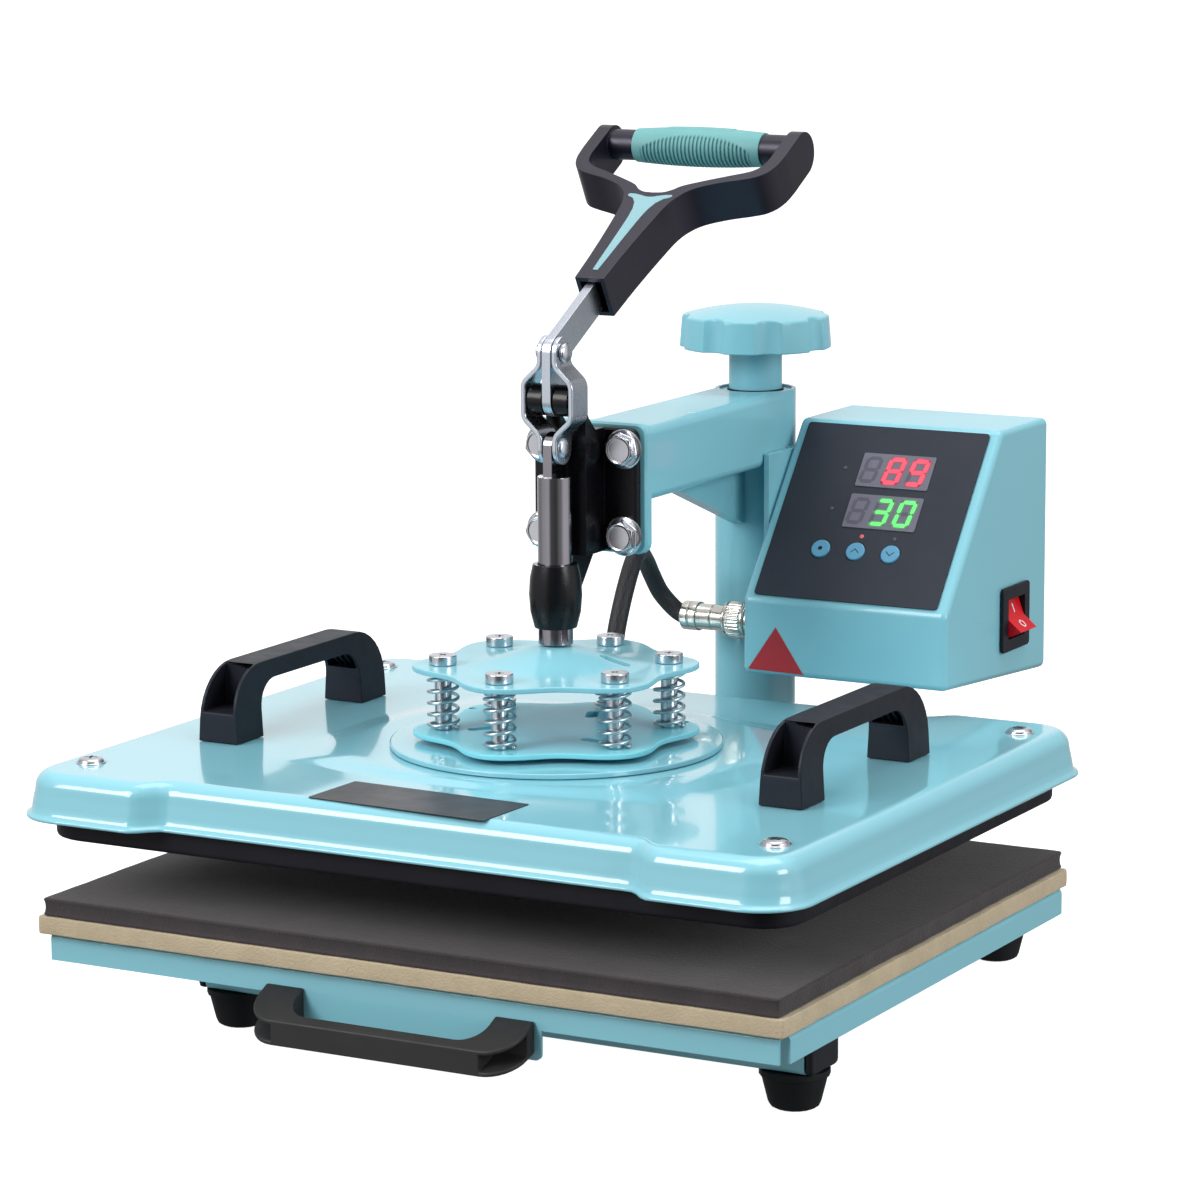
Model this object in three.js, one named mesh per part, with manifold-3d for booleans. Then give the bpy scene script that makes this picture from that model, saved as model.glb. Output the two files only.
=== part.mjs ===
// Swing-away combo heat press with a slide-out lower platen.
// Millimetres, +Z up. X runs to the operator's right, Y away from the operator.
import * as THREE from 'three';
import { mergeVertices } from 'three/addons/utils/BufferGeometryUtils.js';
import Module from 'manifold-3d';

const wasm = await Module();
wasm.setup();

// Shared gaps
const seat = 0.25; // between a piece and what it rests on
const slip = 0.4; // round a turning or sliding piece
const weldGap = 0.3; // between a piece and the neighbour it is cut to
const overrun = 3; // how far a cutter runs past the piece it cuts

// Base frame: rectangular tube crossbars joined by two rails
const tubeWall = 2;
const tubeRound = 2.5;
const crossbarDepth = 27;
const crossbarHeight = 27;
const frontBarLength = 314;
const frontBarY = -51;
const rearBarLength = 262;
const rearBarSetback = 28;
const railWidth = 25;
const railSpacing = 200;

// Feet and end caps
const footHeight = 18.2;
const footTopRadius = 16;
const footBottomRadius = 12;
const footLip = 3.2;
const footRound = 3;
const footInset = 11;
const capThick = 4;
const capPlug = 10;

// Drawer slides
const channelWidth = 24;
const channelHeight = 7;
const channelWall = 1.5;
const channelLip = 4;
const channelLength = 210;
const runnerWeb = 8;
const runnerFlange = 3;
const runnerLength = 270;
const runnerLead = 66;

// Drawer tray, folded from sheet
const trayWidth = 378;
const trayDepth = 293;
const trayRise = 15.5;
const traySheet = 1.5;
const traySkirt = 12.7;
const trayBend = 3;
const traySlit = 1.6;
const apronWidth = 143;
const apronDepth = 13.5;

// Backing board and foam pad
const boardWidth = 380;
const boardDepth = 302;
const boardThick = 8.2;
const padWidth = 375.6;
const padDepth = 300.6;
const padThick = 8.3;
const padCorner = 1.5;

// Drawer pull
const pullLength = 137;
const pullReach = 22;
const pullBackHeight = 14;
const pullFrontHeight = 11.5;
const pullFall = 10;
const pullBlock = 19.5;
const pullBar = 5.3;
const pullDrop = 8.6;
const pullOuterRound = 15.6;
const pullInnerRound = 11;
const pullWall = 2;

// Column, post and pressure screw
const columnSetback = 52.5;
const columnRadius = 20;
const columnWall = 2;
const columnTop = 282.4;
const columnFoot = 70;
const postTop = 250;
const postWall = 3;
const postNut = 16;
const postPlateInset = 0.5;
const postPlateDepth = 62;
const postPlateThick = 5;
const ledgeDrop = 1;
const ledgeThick = 10;
const collarThick = 8.5;
const collarPlay = 0.5;
const screwRadius = 6;
const screwReach = 82;

// Pressure knob
const knobRadius = 37.4;
const knobHeight = 14.2;
const knobLift = 22.6;
const knobEdge = 3;
const knobGrooves = 8;
const grooveRadius = 9.5;
const grooveBite = 3.6;
const groovePhase = -7;
const neckRadius = 13.2;

// Arm beam, gusset and end plate
const beamWidth = 40;
const beamHeight = 35;
const beamWall = 2.5;
const beamRound = 4;
const beamNotch = 6;
const gussetThick = 8;
const gussetReach = 73;
const gussetDrop = 30;
const gussetBite = 4;
const endPlateWidth = 59;
const endPlateHeight = 60.8;
const endPlateThick = 6;
const endPlateFront = 29;
const endPlateRise = 4.4;
const plateCorner = 5;
const plateEdge = 1;

// Clamp casting
const plungerY = -4.5;
const flangeWidth = 54;
const flangeHeight = 57.5;
const flangeThick = 5;
const flangeRise = 2.7;
const spineFront = 6;
const spineShoulder = 8.4;
const ribThick = 8;
const guideBottom = 195.5;
const guideHeight = 29.6;
const guideBulge = 12.3;
const guideTopRadius = 10.4;
const guideFootRadius = 9.8;
const earRadius = 7.25;
const earInner = 3;
const earOuter = 10.4;
const earSlope = 30;
const earSlopeLength = 15.2;
const boltSpacingX = 42;
const boltSpacingZ = 40.5;
const boltRise = 9.4;
const boltWasherRadius = 9.2;
const boltWasherThick = 1.6;
const boltHexFlat = 13;
const boltHeadHeight = 5.6;
const boltShankRadius = 4;

// Toggle linkage
const pivotHeight = 300.5;
const crankLength = 22;
const linkLength = 44;
const pinRadius = 3.5;
const strapThick = 2.4;
const strapWidth = 14.8;
const strapInner = 2.6;
const cageInner = 11.2;
const cageHeight = 18;
const cageBend = 4;
const rivetDome = 1.6;
const rivetDomeRadius = 4.6;
const barThick = 4.6;
const barWidth = 15;
const barInsert = 38;

// Plunger
const rodRadius = 8;
const tangWidth = 14;
const tangShoulder = 13;
const tangTop = 7.5;

// Handle frame, drawn in its own sloping plane from the neck mouth
const handleSlope = 29;
const handleStart = 46.5;
const handleLength = 131;
const handleHalf = 54.5;
const handleThick = 21;
const handleBevel = 1.4;
const mouthDepth = 12;
const mouthWall = 2.2;
const gripAlong = 120.5;
const gripRise = 1.5;
const gripRadius = 7.4;
const sleeveLength = 68;
const sleeveWall = 0.6;
const sleeveBulge = 0.9;

// Floating head plates
const headRise = 27.65;
const bladeRadius = 61;
const lobeDepth = 5;
const lobeCount = 6;
const lobePhase = 30;
const plateThick = 2.6;
const plateDome = 9.2;
const domeRadius = 44;
const lowerPlateRise = 2.4;
const discRadius = 76.9;
const discThick = 2.5;
const discPadRadius = 44;
const boltCircle = 52;
const shankRadius = 3.9;
const shoulderHeadRadius = 6.4;
const shoulderHeadHeight = 4.4;
const socketRadius = 2.2;
const socketDepth = 1.6;
const slotWidth = 6;
const slotLength = 15;
const slotRadius = 34;
const slotCount = 3;
const slotPhase = -30;
const slotTurn = 25;
const edgeHoleRadius = 2;
const edgeHoleCircle = 60.5;

// Springs
const springLength = 27.2;
const springRadius = 6.8;
const wireRadius = 0.8;
const springTurns = 5.75;

// Cover and heating platen
const coverWidth = 396;
const coverDepth = 326;
const coverHeight = 21.4;
const coverCorner = 25;
const coverRecess = 10;
const recessEnd = 80;
const recessBlend = 14;
const coverWall = 1.2;
const coverLip = 2.2;
const coverLipHeight = 2.2;
const coverDraft = 2.2;
const coverRound = 8;
const coverCrown = 2.4;
const coverGap = 11;
const platenSideGap = 8.5;
const platenEndGap = 14.5;
const platenThick = 15;
const platenCorner = 20;
const platenRound = 2.5;
const bossRadius = 9;
const bossInsetX = 15;
const bossInsetY = 21;

// Side handles on the cover
const sideHandleInset = 52;
const sideHandleLength = 132;
const sideHandleHeight = 35;
const sideHandleFoot = 21.6;
const sideHandleTopWidth = 17.4;
const sideHandleLeg = 22.5;
const sideHandleBar = 9;
const sideHandleOuter = 24;
const sideHandleInner = 13;
const sideHandleWall = 1.9;
const sidePocketFloor = 14;
const sidePocketDepth = 19;
const sideRecessFloor = 17;
const sideRecessDepth = 9;
const sideRecessRise = 2.5;
const sideRibCount = 3;
const sideRibThick = 1.6;
const sideRibReach = 4;

// Control box
const boxLeft = 24;
const boxWidth = 108;
const boxFront = 137;
const boxDepth = 119.6;
const boxBottom = 151.6;
const boxSag = 8.4;
const boxLip = 36.5;
const boxTop = 268.4;
const boxTopDepth = 55.6;
const boxWall = 2;
const boxRound = 3;
const tabThick = 3;
const tabFront = 32;
const tabHeight = 62;
const tabTop = 14;

// Control panel on the sloping face
const panelMarginX = 5.6;
const panelMarginY = 2.6;
const panelThick = 0.8;
const buttonRadius = 4.9;
const buttonLength = 5.6;
const buttonProud = 0.9;
const buttonRow = 30;
const buttonFirst = 33.3;
const buttonPitch = 18.5;

// Rocker switch
const bezelWidth = 32;
const bezelHeight = 32;
const bezelThick = 2;
const bezelRim = 4.6;
const bezelWall = 1.2;
const bezelSetback = 78.3;
const bezelLift = 23.8;
const rockerDeep = 7;
const rockerFlat = 1.6;
const rockerTip = 8.5;
const rockerTrunnion = 1.4;
const trunnionReach = 0.6;

// Cable and its connector
const connectorY = 158;
const connectorZ = 173;
const connectorFlangeRadius = 10.4;
const connectorFlangeThick = 2.4;
const connectorThreadRadius = 7.4;
const connectorThreadLength = 4.2;
const connectorNutRadius = 8.8;
const connectorNutLength = 12;
const connectorBodyRadius = 6.4;
const connectorBodyLength = 15;
const connectorClampRadius = 7.2;
const connectorClampLength = 9;
const cableRadius = 4.4;
// Chosen points of the cable from the connector to the cover
const cableRoute = [
  [-19.6, 158, 173], [-24, 157.8, 173], [-30, 156.5, 174.5], [-34, 152, 179], [-34.5, 144, 187],
  [-32, 135, 196.5], [-27, 124, 206], [-22.5, 113, 212], [-19, 104, 211.5],
  [-17, 96.5, 204], [-16, 91, 193], [-15.6, 86, 178], [-15.4, 83.5, 162], [-15, 83, 150], [-15, 83, 140.8],
];

// Places along X and Y that follow from the sizes above
const frontBarFace = frontBarY - crossbarDepth / 2;
const columnY = frontBarFace + channelLength + columnSetback;
const rearBarY = columnY + rearBarSetback;
const postPlateWidth = railSpacing + railWidth - 2 * postPlateInset;
const recessHalf = coverWidth / 2 - recessEnd;
const platenWidth = coverWidth - 2 * platenSideGap;
const platenDepth = coverDepth - 2 * platenEndGap;
const bossX = platenWidth / 2 - bossInsetX;
const bossY = platenDepth / 2 - bossInsetY;
const sideHandleX = coverWidth / 2 - sideHandleInset;

// Heights that follow from the sizes above
const crossbarBottom = footHeight + seat;
const crossbarTop = crossbarBottom + crossbarHeight;
const channelBottom = crossbarTop + seat;
const trayTop = crossbarTop + trayRise;
const boardBottom = trayTop + seat;
const padBottom = boardBottom + boardThick + seat;
const padTop = padBottom + padThick;
const platenBottom = padTop + headRise;
const coverBottom = platenBottom + coverGap;
const coverTop = coverBottom + coverHeight;
const crownTop = coverTop + coverCrown;
const discBottom = crownTop + seat;
const lowerPlateBottom = discBottom + discThick + lowerPlateRise;
const springBottom = lowerPlateBottom + plateThick + seat;
const upperPlateBottom = springBottom + springLength + seat;
const upperPlateTop = upperPlateBottom + plateThick;
const rodBottom = upperPlateTop + plateDome + seat;
const crankPin = pivotHeight + crankLength;
const tangPin = crankPin - linkLength;
const beamTop = columnTop;
const beamBottom = beamTop - beamHeight;
const flangeTop = beamTop + flangeRise;
const flangeBottom = flangeTop - flangeHeight;
const flangeFront = endPlateFront - seat - flangeThick;
const columnBore = columnRadius - columnWall;
const postRadius = columnBore - slip;
const ledgeTop = columnTop - ledgeDrop;
const ledgeBottom = ledgeTop - ledgeThick;
const collarTop = ledgeBottom - collarPlay;
const knobBottom = columnTop + knobLift;

const palette = {
  teal: [0x8fd6dc, 0.35, 0.1],
  black: [0x23262c, 0.55, 0],
  casting: [0x17181b, 0.4, 0.3],
  steel: [0xc9ccd0, 0.25, 0.95],
  rubber: [0x15171a, 0.8, 0],
  board: [0xd9c9a3, 0.9, 0],
  foam: [0x59525a, 0.95, 0],
  platen: [0x1d1e21, 0.6, 0.2],
  sleeve: [0x6fb9b4, 0.7, 0],
  panel: [0x2c2f38, 0.5, 0],
  button: [0x5aa6d8, 0.5, 0],
  red: [0xc8161c, 0.3, 0],
};

function finish(name) {
  const [color, roughness, metalness] = palette[name];
  return new THREE.MeshStandardMaterial({ color, roughness, metalness });
}

// Solids: a geometry with merged corners becomes a solid that can be cut and joined
function solidOf(geometry) {
  const bare = geometry.clone();
  bare.deleteAttribute('normal');
  bare.deleteAttribute('uv');
  const merged = mergeVertices(bare);
  const corners = merged.index.array;
  const kept = [];
  for (let i = 0; i < corners.length; i += 3) {
    const [a, b, c] = [corners[i], corners[i + 1], corners[i + 2]];
    if (a !== b && b !== c && c !== a) kept.push(a, b, c);
  }
  return new wasm.Manifold(new wasm.Mesh({
    numProp: 3,
    vertProperties: new Float32Array(merged.attributes.position.array),
    triVerts: new Uint32Array(kept),
  }));
}

function geometryOf(solid) {
  const mesh = solid.getMesh();
  const geometry = new THREE.BufferGeometry();
  geometry.setAttribute('position', new THREE.BufferAttribute(mesh.vertProperties, 3));
  geometry.setIndex(new THREE.BufferAttribute(mesh.triVerts, 1));
  geometry.computeVertexNormals();
  return geometry;
}

function cut(base, ...tools) {
  let solid = base;
  for (const tool of tools) solid = solid.subtract(tool);
  return solid;
}

function join(base, ...others) {
  let solid = base;
  for (const other of others) solid = solid.add(other);
  return solid;
}

// A block between two opposite corners
function block(x0, x1, y0, y1, z0, z1) {
  const geometry = new THREE.BoxGeometry(x1 - x0, y1 - y0, z1 - z0);
  geometry.translate((x0 + x1) / 2, (y0 + y1) / 2, (z0 + z1) / 2);
  return solidOf(geometry);
}

// Round bars along each axis, from one end to the other
function barX(radius, x0, x1, y, z, sides = 24) {
  const geometry = new THREE.CylinderGeometry(radius, radius, x1 - x0, sides);
  geometry.rotateZ(-Math.PI / 2);
  geometry.translate((x0 + x1) / 2, y, z);
  return solidOf(geometry);
}

function barY(radius, y0, y1, x, z, sides = 24) {
  const geometry = new THREE.CylinderGeometry(radius, radius, y1 - y0, sides);
  geometry.translate(x, (y0 + y1) / 2, z);
  return solidOf(geometry);
}

function barZ(radius, z0, z1, x, y, sides = 24) {
  const geometry = new THREE.CylinderGeometry(radius, radius, z1 - z0, sides);
  geometry.rotateX(Math.PI / 2);
  geometry.translate(x, y, (z0 + z1) / 2);
  return solidOf(geometry);
}

// A profile of [radius, height] pairs turned about a vertical axis
function turned(profile, x, y, z, sides = 32) {
  const points = profile.map(([radius, height]) => new THREE.Vector2(radius, height));
  const geometry = new THREE.LatheGeometry(points, sides);
  geometry.rotateX(Math.PI / 2);
  geometry.translate(x, y, z);
  return solidOf(geometry);
}

function outline(points) {
  const shape = new THREE.Shape();
  points.forEach(([a, b], i) => (i === 0 ? shape.moveTo(a, b) : shape.lineTo(a, b)));
  shape.closePath();
  return shape;
}

// A rectangle about a centre, with its corners rounded
function roundedRectangle(width, height, radius, cx = 0, cy = 0) {
  const shape = new THREE.Shape();
  const [hw, hh] = [width / 2, height / 2];
  shape.absarc(cx + hw - radius, cy - hh + radius, radius, -Math.PI / 2, 0);
  shape.absarc(cx + hw - radius, cy + hh - radius, radius, 0, Math.PI / 2);
  shape.absarc(cx - hw + radius, cy + hh - radius, radius, Math.PI / 2, Math.PI);
  shape.absarc(cx - hw + radius, cy - hh + radius, radius, Math.PI, Math.PI * 1.5);
  shape.closePath();
  return shape;
}

// A slot with round ends between two points
function slotShape(ax, ay, bx, by, radius) {
  const shape = new THREE.Shape();
  const turn = Math.atan2(by - ay, bx - ax);
  shape.absarc(bx, by, radius, turn - Math.PI / 2, turn + Math.PI / 2);
  shape.absarc(ax, ay, radius, turn + Math.PI / 2, turn + Math.PI * 1.5);
  shape.closePath();
  return shape;
}

const axisX = new THREE.Vector3(1, 0, 0);
const axisY = new THREE.Vector3(0, 1, 0);
const axisZ = new THREE.Vector3(0, 0, 1);

function extruded(shape, depth, bevel, curveSegments) {
  const geometry = new THREE.ExtrudeGeometry(shape, {
    depth: depth - 2 * bevel,
    bevelEnabled: bevel > 0,
    bevelThickness: bevel,
    bevelSize: bevel,
    bevelOffset: -bevel,
    bevelSegments: 1,
    curveSegments,
  });
  geometry.translate(0, 0, bevel);
  return geometry;
}

// A plan shape extruded upwards from z
function upright(shape, height, z, bevel = 0, curveSegments = 3) {
  const geometry = extruded(shape, height, bevel, curveSegments);
  geometry.translate(0, 0, z);
  return solidOf(geometry);
}

// A side view shape, drawn in Y and Z, extruded along X from x
function sideways(shape, width, x, bevel = 0, curveSegments = 3) {
  const geometry = extruded(shape, width, bevel, curveSegments);
  geometry.applyMatrix4(new THREE.Matrix4().makeBasis(axisY, axisZ, axisX));
  geometry.translate(x, 0, 0);
  return solidOf(geometry);
}

// A front view shape, drawn in X and Z, extruded towards the operator from y
function frontwards(shape, depth, y, bevel = 0, curveSegments = 3) {
  const geometry = extruded(shape, depth, bevel, curveSegments);
  geometry.rotateX(Math.PI / 2);
  geometry.translate(0, y, 0);
  return solidOf(geometry);
}

// Closed skin over rings of equal count, with a pole at each end
function loft(rings, startPole, endPole) {
  const count = rings[0].length;
  const places = [startPole, ...rings.flat(), endPole];
  const faces = [];
  const at = (ring, i) => 1 + ring * count + (i % count);
  const last = places.length - 1;
  for (let i = 0; i < count; i += 1) {
    faces.push(0, at(0, i + 1), at(0, i));
    faces.push(last, at(rings.length - 1, i), at(rings.length - 1, i + 1));
    for (let ring = 0; ring < rings.length - 1; ring += 1) {
      faces.push(at(ring, i), at(ring, i + 1), at(ring + 1, i));
      faces.push(at(ring, i + 1), at(ring + 1, i + 1), at(ring + 1, i));
    }
  }
  const geometry = new THREE.BufferGeometry();
  geometry.setAttribute('position', new THREE.Float32BufferAttribute(places.flat(), 3));
  geometry.setIndex(faces);
  return solidOf(geometry);
}

const polar = (radius, angle) => [radius * Math.cos(angle), radius * Math.sin(angle)];
const radians = (degrees) => (degrees * Math.PI) / 180;
const smooth = (t) => {
  const u = Math.min(Math.max(t, 0), 1);
  return u * u * (3 - 2 * u);
};

const press = new THREE.Group();

function add(name, solid, colour, parent = press) {
  const mesh = new THREE.Mesh(geometryOf(solid), finish(colour));
  mesh.name = name;
  parent.add(mesh);
  return mesh;
}

// Base frame
function hollowTubeX(length, depth, height, y, z) {
  const outer = roundedRectangle(depth, height, tubeRound, y, z);
  const inner = roundedRectangle(depth - 2 * tubeWall, height - 2 * tubeWall, tubeRound / 2, y, z);
  const bar = sideways(outer, length, -length / 2, 0, 1);
  return cut(bar, sideways(inner, length + 2 * overrun, -length / 2 - overrun, 0, 1));
}

function baseRail(x) {
  const start = frontBarY + crossbarDepth / 2 + seat;
  const end = rearBarY - crossbarDepth / 2 - seat;
  const middle = crossbarBottom + crossbarHeight / 2;
  const outer = roundedRectangle(railWidth, crossbarHeight, tubeRound, x, middle);
  const [boreWidth, boreHeight] = [railWidth - 2 * tubeWall, crossbarHeight - 2 * tubeWall];
  const bore = roundedRectangle(boreWidth, boreHeight, tubeRound / 2, x, middle);
  const bar = frontwards(outer, end - start, end, 0, 1);
  return cut(bar, frontwards(bore, end - start + 2 * overrun, end + overrun, 0, 1));
}

function foot(x, y) {
  const profile = [
    [0, 0], [footBottomRadius - footRound, 0], [footBottomRadius - footRound / 3, footRound / 3],
    [footBottomRadius, footRound], [footTopRadius - footRound / 3, footHeight - footLip],
    [footTopRadius, footHeight - footLip], [footTopRadius, footHeight], [0, footHeight],
  ];
  return turned(profile, x, y, 0, 18);
}

// A plastic cap on the end of a crossbar, with its plug inside the tube
function endCap(side, barLength, y) {
  const middle = crossbarBottom + crossbarHeight / 2;
  const face = (barLength / 2 + seat) * side;
  const rim = roundedRectangle(crossbarDepth, crossbarHeight, tubeRound, y, middle);
  const plugDepth = crossbarDepth - 2 * tubeWall - 2 * slip;
  const plugHeight = crossbarHeight - 2 * tubeWall - 2 * slip;
  const plug = roundedRectangle(plugDepth, plugHeight, tubeRound / 2, y, middle);
  const rimStart = side > 0 ? face : face - capThick;
  const plugStart = side > 0 ? face - capPlug : face - capThick / 2;
  const cap = sideways(rim, capThick, rimStart, capThick / 4, 1);
  return join(cap, sideways(plug, capPlug + capThick / 2, plugStart, 0, 1));
}

function buildBase() {
  const middle = crossbarBottom + crossbarHeight / 2;
  const bars = [['front', frontBarLength, frontBarY], ['rear', rearBarLength, rearBarY]];
  for (const [row, length, y] of bars) {
    add(`${row}_crossbar`, hollowTubeX(length, crossbarDepth, crossbarHeight, y, middle), 'teal');
  }
  for (const [side, word] of [[-1, 'left'], [1, 'right']]) {
    add(`base_rail_${word}`, baseRail((side * railSpacing) / 2), 'teal');
    for (const [row, length, y] of bars) {
      add(`foot_${row}_${word}`, foot(side * (length / 2 - footInset), y), 'rubber');
      add(`end_cap_${row}_${word}`, endCap(side, length, y), 'black');
    }
    add(`slide_channel_${word}`, slideChannel((side * railSpacing) / 2), 'steel');
  }
  add('inner_post', innerPost(), 'steel');
}

// A lipped channel that lies on the base rail and holds the runner
function slideChannel(x) {
  const [start, end] = [frontBarFace, frontBarFace + channelLength];
  const [half, floor] = [channelWidth / 2, channelBottom];
  const top = floor + channelHeight;
  const body = block(x - half, x + half, start, end, floor, top);
  const inner = half - channelWall;
  const mouth = inner - channelLip;
  const [cutStart, cutEnd, bed] = [start - overrun, end + overrun, floor + channelWall];
  const room = block(x - inner, x + inner, cutStart, cutEnd, bed, top - channelWall);
  const opening = block(x - mouth, x + mouth, cutStart, cutEnd, bed, top + overrun);
  return cut(body, room, opening);
}

function innerPost() {
  const plateBottom = crossbarTop + seat;
  const [halfX, halfY] = [postPlateWidth / 2, postPlateDepth / 2];
  const plateTop = plateBottom + postPlateThick;
  const plate = block(-halfX, halfX, columnY - halfY, columnY + halfY, plateBottom, plateTop);
  const post = barZ(postRadius, plateBottom, postTop, 0, columnY, 28);
  const bore = barZ(postRadius - postWall, plateBottom - overrun, postTop - postNut, 0, columnY, 20);
  const thread = barZ(screwRadius + slip, postTop - postNut - overrun, postTop + overrun, 0, columnY);
  return cut(join(plate, post), bore, thread);
}

// Drawer: tray with runners, board, pad and pull
function trayProfile(x0, x1, bottom) {
  const shape = new THREE.Shape();
  shape.moveTo(x0, bottom);
  shape.lineTo(x0 + traySheet, bottom);
  shape.lineTo(x0 + traySheet, trayTop - traySheet);
  shape.lineTo(x1 - traySheet, trayTop - traySheet);
  shape.lineTo(x1 - traySheet, bottom);
  shape.lineTo(x1, bottom);
  shape.absarc(x1 - trayBend, trayTop - trayBend, trayBend, 0, Math.PI / 2);
  shape.absarc(x0 + trayBend, trayTop - trayBend, trayBend, Math.PI / 2, Math.PI);
  shape.closePath();
  return shape;
}

function drawerTray() {
  const half = trayWidth / 2;
  const [front, back] = [-trayDepth / 2, trayDepth / 2];
  const skirtBottom = trayTop - traySkirt;
  const deck = frontwards(trayProfile(-half, half, skirtBottom), trayDepth - trayBend - traySlit, back, 0, 3);
  const lip = new THREE.Shape();
  lip.moveTo(front + traySheet, skirtBottom);
  lip.lineTo(front + traySheet, trayTop - traySheet);
  lip.lineTo(front + trayBend * 2, trayTop - traySheet);
  lip.lineTo(front + trayBend * 2, trayTop);
  lip.absarc(front + trayBend, trayTop - trayBend, trayBend, Math.PI / 2, Math.PI);
  lip.lineTo(front, skirtBottom);
  lip.closePath();
  const inset = traySheet + traySlit;
  const fold = sideways(lip, trayWidth - 2 * inset, -half + inset, 0, 3);
  const [apronTop, apronFoot] = [skirtBottom + traySkirt / 2, skirtBottom - apronDepth];
  const apron = roundedRectangle(apronWidth, apronTop - apronFoot, trayBend, 0, (apronTop + apronFoot) / 2);
  let solid = join(deck, fold, frontwards(apron, traySheet, front + traySheet, 0, 2));
  for (const side of [-1, 1]) solid = join(solid, runner((side * railSpacing) / 2));
  return solid;
}

// The sliding tee that hangs under the tray and runs in the channel
function runner(x) {
  const start = frontBarFace - runnerLead;
  const end = start + runnerLength;
  const flangeHalf = channelWidth / 2 - channelWall - slip;
  const bottom = channelBottom + channelWall + slip;
  const flange = block(x - flangeHalf, x + flangeHalf, start, end, bottom, bottom + runnerFlange);
  const half = runnerWeb / 2;
  const web = block(x - half, x + half, start, end, bottom, trayTop - traySheet / 2);
  return join(flange, web);
}

// Side view of the pull between two places along Y, falling to the front, less a wall above and below
function pullSide(y0, y1, wall) {
  const back = -trayDepth / 2 - seat;
  const backTop = trayTop - pullDrop;
  const topAt = (y) => backTop - (pullFall * (back - y)) / pullReach;
  const heightAt = (y) => pullBackHeight - ((pullBackHeight - pullFrontHeight) * (back - y)) / pullReach;
  const under = (y) => [y, topAt(y) - heightAt(y) + wall];
  return outline([[y0, topAt(y0) - wall], under(y0), under(y1), [y1, topAt(y1) - wall]]);
}

// A U shaped pull that falls to the front, with a pocket open round each front corner
function drawerPull() {
  const back = -trayDepth / 2 - seat;
  const front = back - pullReach;
  const half = pullLength / 2;
  const inner = half - pullBlock;
  const shape = new THREE.Shape();
  shape.moveTo(-inner, back);
  shape.lineTo(-half, back);
  shape.absarc(-half + pullOuterRound, front + pullOuterRound, pullOuterRound, Math.PI, Math.PI * 1.5);
  shape.absarc(half - pullOuterRound, front + pullOuterRound, pullOuterRound, -Math.PI / 2, 0);
  shape.lineTo(half, back);
  shape.lineTo(inner, back);
  const [bendX, bendY] = [inner - pullInnerRound, front + pullBar + pullInnerRound];
  shape.absarc(bendX, bendY, pullInnerRound, 0, -Math.PI / 2, true);
  shape.absarc(-bendX, bendY, pullInnerRound, -Math.PI / 2, -Math.PI, true);
  shape.closePath();
  const bottom = trayTop - pullDrop - pullBackHeight - pullFall;
  const plan = upright(shape, trayTop - bottom, bottom, 0, 4);
  const body = plan.intersect(sideways(pullSide(front, back, 0), pullLength, -half));
  const pocketSide = pullSide(front - overrun, front + pullOuterRound, pullWall);
  const pockets = [-half - overrun, half - pullOuterRound].map((x) => (
    sideways(pocketSide, pullOuterRound + overrun, x)
  ));
  return cut(body, ...pockets);
}

function buildDrawer() {
  add('drawer_tray', drawerTray(), 'teal');
  const boardPlan = roundedRectangle(boardWidth, boardDepth, padCorner);
  const padPlan = roundedRectangle(padWidth, padDepth, padCorner);
  add('backing_board', upright(boardPlan, boardThick, boardBottom, 0, 2), 'board');
  add('foam_pad', upright(padPlan, padThick, padBottom, 0, 2), 'foam');
  add('drawer_pull', drawerPull(), 'black');
}

// Column, collar and knob
function columnTube() {
  const tube = barZ(columnRadius, columnFoot, columnTop, 0, columnY, 36);
  const bore = barZ(columnBore, columnFoot - overrun, ledgeBottom, 0, columnY, 28);
  const neckHole = barZ(neckRadius + slip, ledgeBottom - overrun, columnTop + overrun, 0, columnY, 24);
  const mouth = barZ(columnBore, ledgeTop, columnTop + overrun, 0, columnY, 28);
  return join(cut(tube, bore, neckHole, mouth), boxTab());
}

// The welded tab on the tube's side that the control box is screwed to
function boxTab() {
  const top = boxTop - tabTop;
  const inner = boxLeft - seat - tabThick;
  const foot = top - tabHeight;
  const tab = block(inner, boxLeft - seat, columnY - tabFront, columnY + columnRadius, foot, top);
  const [webStart, webEnd] = [columnRadius - columnWall, inner + tabThick / 2];
  const web = block(webStart, webEnd, columnY - columnWall * 2, columnY + columnWall * 2, foot, top);
  return join(tab, web);
}

function pressureKnob() {
  const round = Math.SQRT1_2 * knobEdge;
  const profile = [
    [0, 0], [knobRadius - knobEdge / 2, 0], [knobRadius, knobEdge / 2],
    [knobRadius - knobEdge / 6, knobHeight - knobEdge],
    [knobRadius - knobEdge + round - knobEdge / 6, knobHeight - knobEdge + round],
    [knobRadius - knobEdge, knobHeight], [0, knobHeight],
  ];
  let solid = turned(profile, 0, columnY, knobBottom, 36);
  for (let i = 0; i < knobGrooves; i += 1) {
    const angle = radians(groovePhase) + (i * 2 * Math.PI) / knobGrooves;
    const [x, y] = polar(knobRadius + grooveRadius - grooveBite, angle);
    const [z0, z1] = [knobBottom - overrun, knobBottom + knobHeight + overrun];
    solid = cut(solid, barZ(grooveRadius, z0, z1, x, columnY + y, 20));
  }
  const neck = barZ(neckRadius, collarTop + seat, knobBottom + knobEdge, 0, columnY, 24);
  const screw = barZ(screwRadius, knobBottom - screwReach - knobLift, knobBottom, 0, columnY, 16);
  return join(solid, neck, screw);
}

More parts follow.
